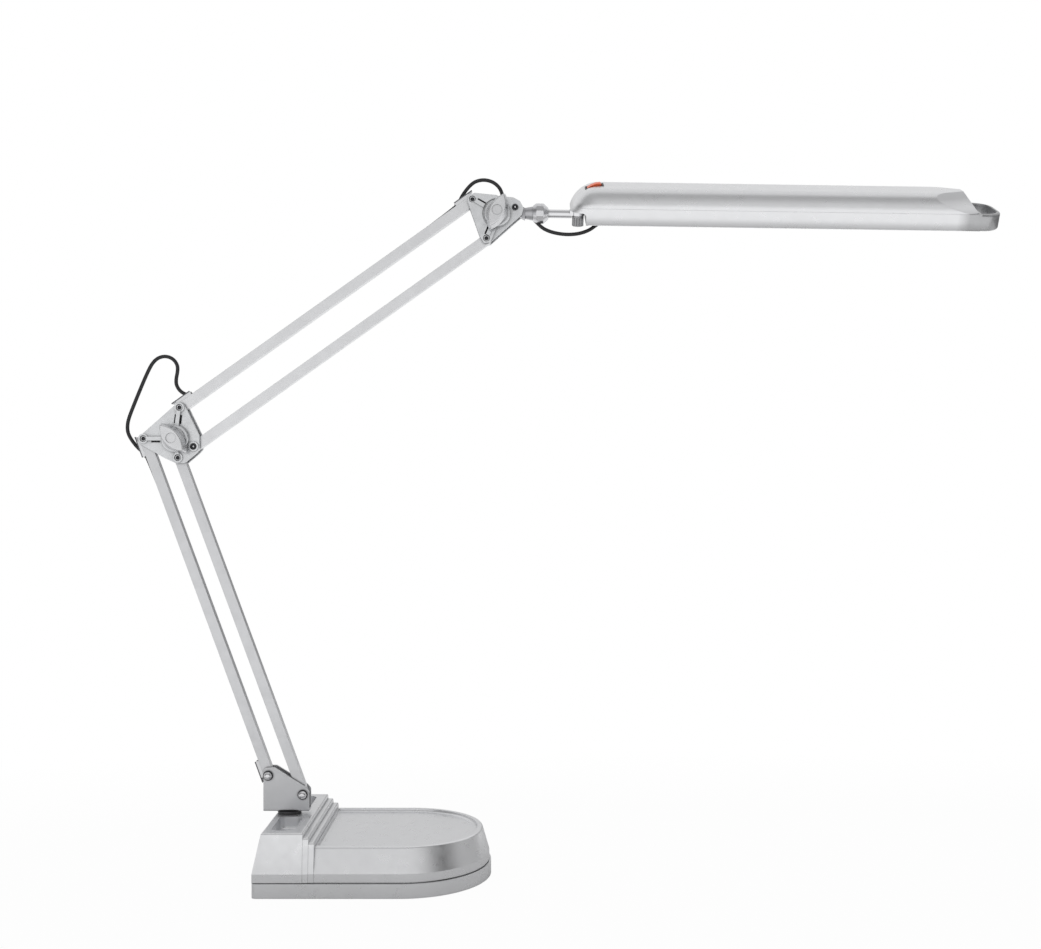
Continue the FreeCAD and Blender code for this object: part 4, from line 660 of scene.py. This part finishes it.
# Studio: white all round and a pale floor, with dark flags that only shiny surfaces mirror
LIGHT_LEVEL = 0.8
FLOOR_RADIUS = 12
FLOOR_MIDDLE = (0.35, 0, 0)
FLOOR_STRETCH = (0.35, 1, 1)
FLOOR_REACH = (0.28, 0.62)
FLOOR_SHOWN = 0.97
FLOOR_COLOUR = (0.5, 0.5, 0.5, 1)
# What the flags leave of the white: by height, from straight down at -1 to straight up at 1, and by the
# way round in degrees, from the camera's side at 0 past the right at 90 and the left at -90
FLAGS_IN_FRONT = (
    (-1, 0.7), (0.0, 0.94), (0.14, 0.90), (0.28, 0.76), (0.46, 0.48), (0.62, 0.36), (0.8, 0.38),
    (1, 0.7))
FLAGS_BEHIND = ((-1, 0.6), (0.04, 0.6), (0.28, 0.65), (0.62, 0.8), (1, 0.74))
FLAGS_ROUND = (
    (-180, 0.85), (-120, 0.8), (-88, 0.65), (-70, 0.25), (-52, 0.3), (-38, 0.95), (-28, 1), (16, 1),
    (30, 0.8), (42, 0.42), (52, 0.06), (64, 0.12), (84, 0.6), (93, 0.66), (112, 0.5), (132, 0.3),
    (166, 0.38), (180, 0.85))
# Where one set of flags gives way to another, by how far a direction points away or up
BEHIND_EDGE = (-0.45, 0.15)
ROUND_EDGE = (0.95, 0.4)
ROUND_EDGE_BEHIND = (0.4, 0.15)
AWAY_EDGE = (0.0, 0.15)
# The soft lamps: place, width and power
LAMPS = {"key": ((-0.9, -1.2, 2.0), 1.4, 9.0), "fill": ((1.6, -0.9, 1.5), 1.2, 4.0)}
LAMPS_AIM = (0.1, 0, 0.3)


def flags_left(tree):
    """The share of the white that the flags leave in each direction."""
    way = tree.add("SeparateXYZ")
    tree.join(tree.add("TexCoord").outputs["Generated"], way.inputs[0])
    right, away, height = way.outputs
    turn = tree.maths("ARCTAN2", right, tree.maths("MULTIPLY", away, -1.0))
    turn = tree.maths("MULTIPLY", turn, 180 / math.pi)
    behind = tree.smooth(away, *BEHIND_EDGE)
    flags = tree.mix(behind, tree.ramp(height, FLAGS_IN_FRONT), tree.ramp(height, FLAGS_BEHIND))
    high = tree.mix(tree.smooth(away, *AWAY_EDGE), tree.smooth(height, *ROUND_EDGE),
                    tree.smooth(height, *ROUND_EDGE_BEHIND))
    return tree.maths("MULTIPLY", flags, tree.mix(high, 1.0, tree.ramp(turn, FLAGS_ROUND)))


def studio_world():
    """Even white light, with dark flags in what shiny surfaces mirror of it."""
    world = bpy.data.worlds.new("studio")
    bpy.context.scene.world = world
    tree = Tree(world)
    rays = tree.add("LightPath").outputs
    direct = tree.maths("MAXIMUM", rays["Is Camera Ray"], rays["Is Transmission Ray"])
    white = tree.mix(tree.maths("MAXIMUM", direct, rays["Is Glossy Ray"]), LIGHT_LEVEL, 1.0)
    left = tree.mix(rays["Is Glossy Ray"], 1.0, flags_left(tree))
    background = tree.feed(tree.add("Background"), Color=(1, 1, 1, 1),
                           Strength=tree.maths("MULTIPLY", white, left))
    tree.join(background.outputs[0], tree.add("OutputWorld").inputs[0])


def far_out(tree):
    """How far a point of the floor is beyond the grey patch that lies under the lamp."""
    placed = tree.add("Mapping", vector_type="TEXTURE")
    tree.feed(placed, Vector=tree.place, Location=FLOOR_MIDDLE,
              Scale=[1 / share for share in FLOOR_STRETCH])
    distance = tree.add("VectorMath", operation="LENGTH")
    tree.join(placed.outputs[0], distance.inputs[0])
    return tree.spread(distance.outputs["Value"], 0.0, 1.0, *FLOOR_REACH)


def studio_floor():
    """A grey floor near the lamp, white further out, with its shadow left faint in the picture."""
    made = bmesh.new()
    bmesh.ops.create_circle(made, cap_ends=True, segments=96, radius=FLOOR_RADIUS)
    floor = shown("floor", made)
    tree = Surface("floor_paper")
    tree.feed(tree.shader, Base_Color=FLOOR_COLOUR, Roughness=0.9)
    far = far_out(tree)
    rays = tree.add("LightPath").outputs
    direct = tree.maths("MAXIMUM", rays["Is Camera Ray"], rays["Is Transmission Ray"])
    shown_white = tree.maths("MULTIPLY", direct, tree.spread(far, FLOOR_SHOWN, 1.0, 0.0, 1.0))
    mirrored_white = tree.maths("MULTIPLY", far, rays["Is Glossy Ray"])
    mix = tree.add("MixShader")
    tree.join(tree.maths("MAXIMUM", shown_white, mirrored_white), mix.inputs[0])
    tree.join(tree.shader.outputs[0], mix.inputs[1])
    tree.join(tree.add("Emission").outputs[0], mix.inputs[2])
    tree.join(mix.outputs[0], tree.out.inputs[0])
    floor.data.materials.append(tree.material)


def softbox(name, place, width, power):
    """A square soft lamp that no shiny surface mirrors."""
    data = bpy.data.lights.new(name, "AREA")
    data.shape = "SQUARE"
    data.size = width
    data.energy = power
    lamp = bpy.data.objects.new(name, data)
    lamp.location = place
    lamp.rotation_euler = (Vector(LAMPS_AIM) - Vector(place)).to_track_quat("-Z", "Y").to_euler()
    lamp.visible_glossy = False
    bpy.context.scene.collection.objects.link(lamp)


def studio():
    """The world, the floor and the lamps."""
    studio_world()
    studio_floor()
    for name, (place, width, power) in LAMPS.items():
        softbox(name, place, width, power)
    bpy.context.scene.view_settings.view_transform = "Standard"


make_camera()
made_finishes = {name: finish(*main, **more) for name, (main, more) in FINISHES.items()}
make_cords(made_finishes["cord_black"])
dress_nodes(made_finishes)
ring_nuts()
guide_shade_strips()
slot_shade_plates()
screw_rims()
nut_dark_rings()
studio()
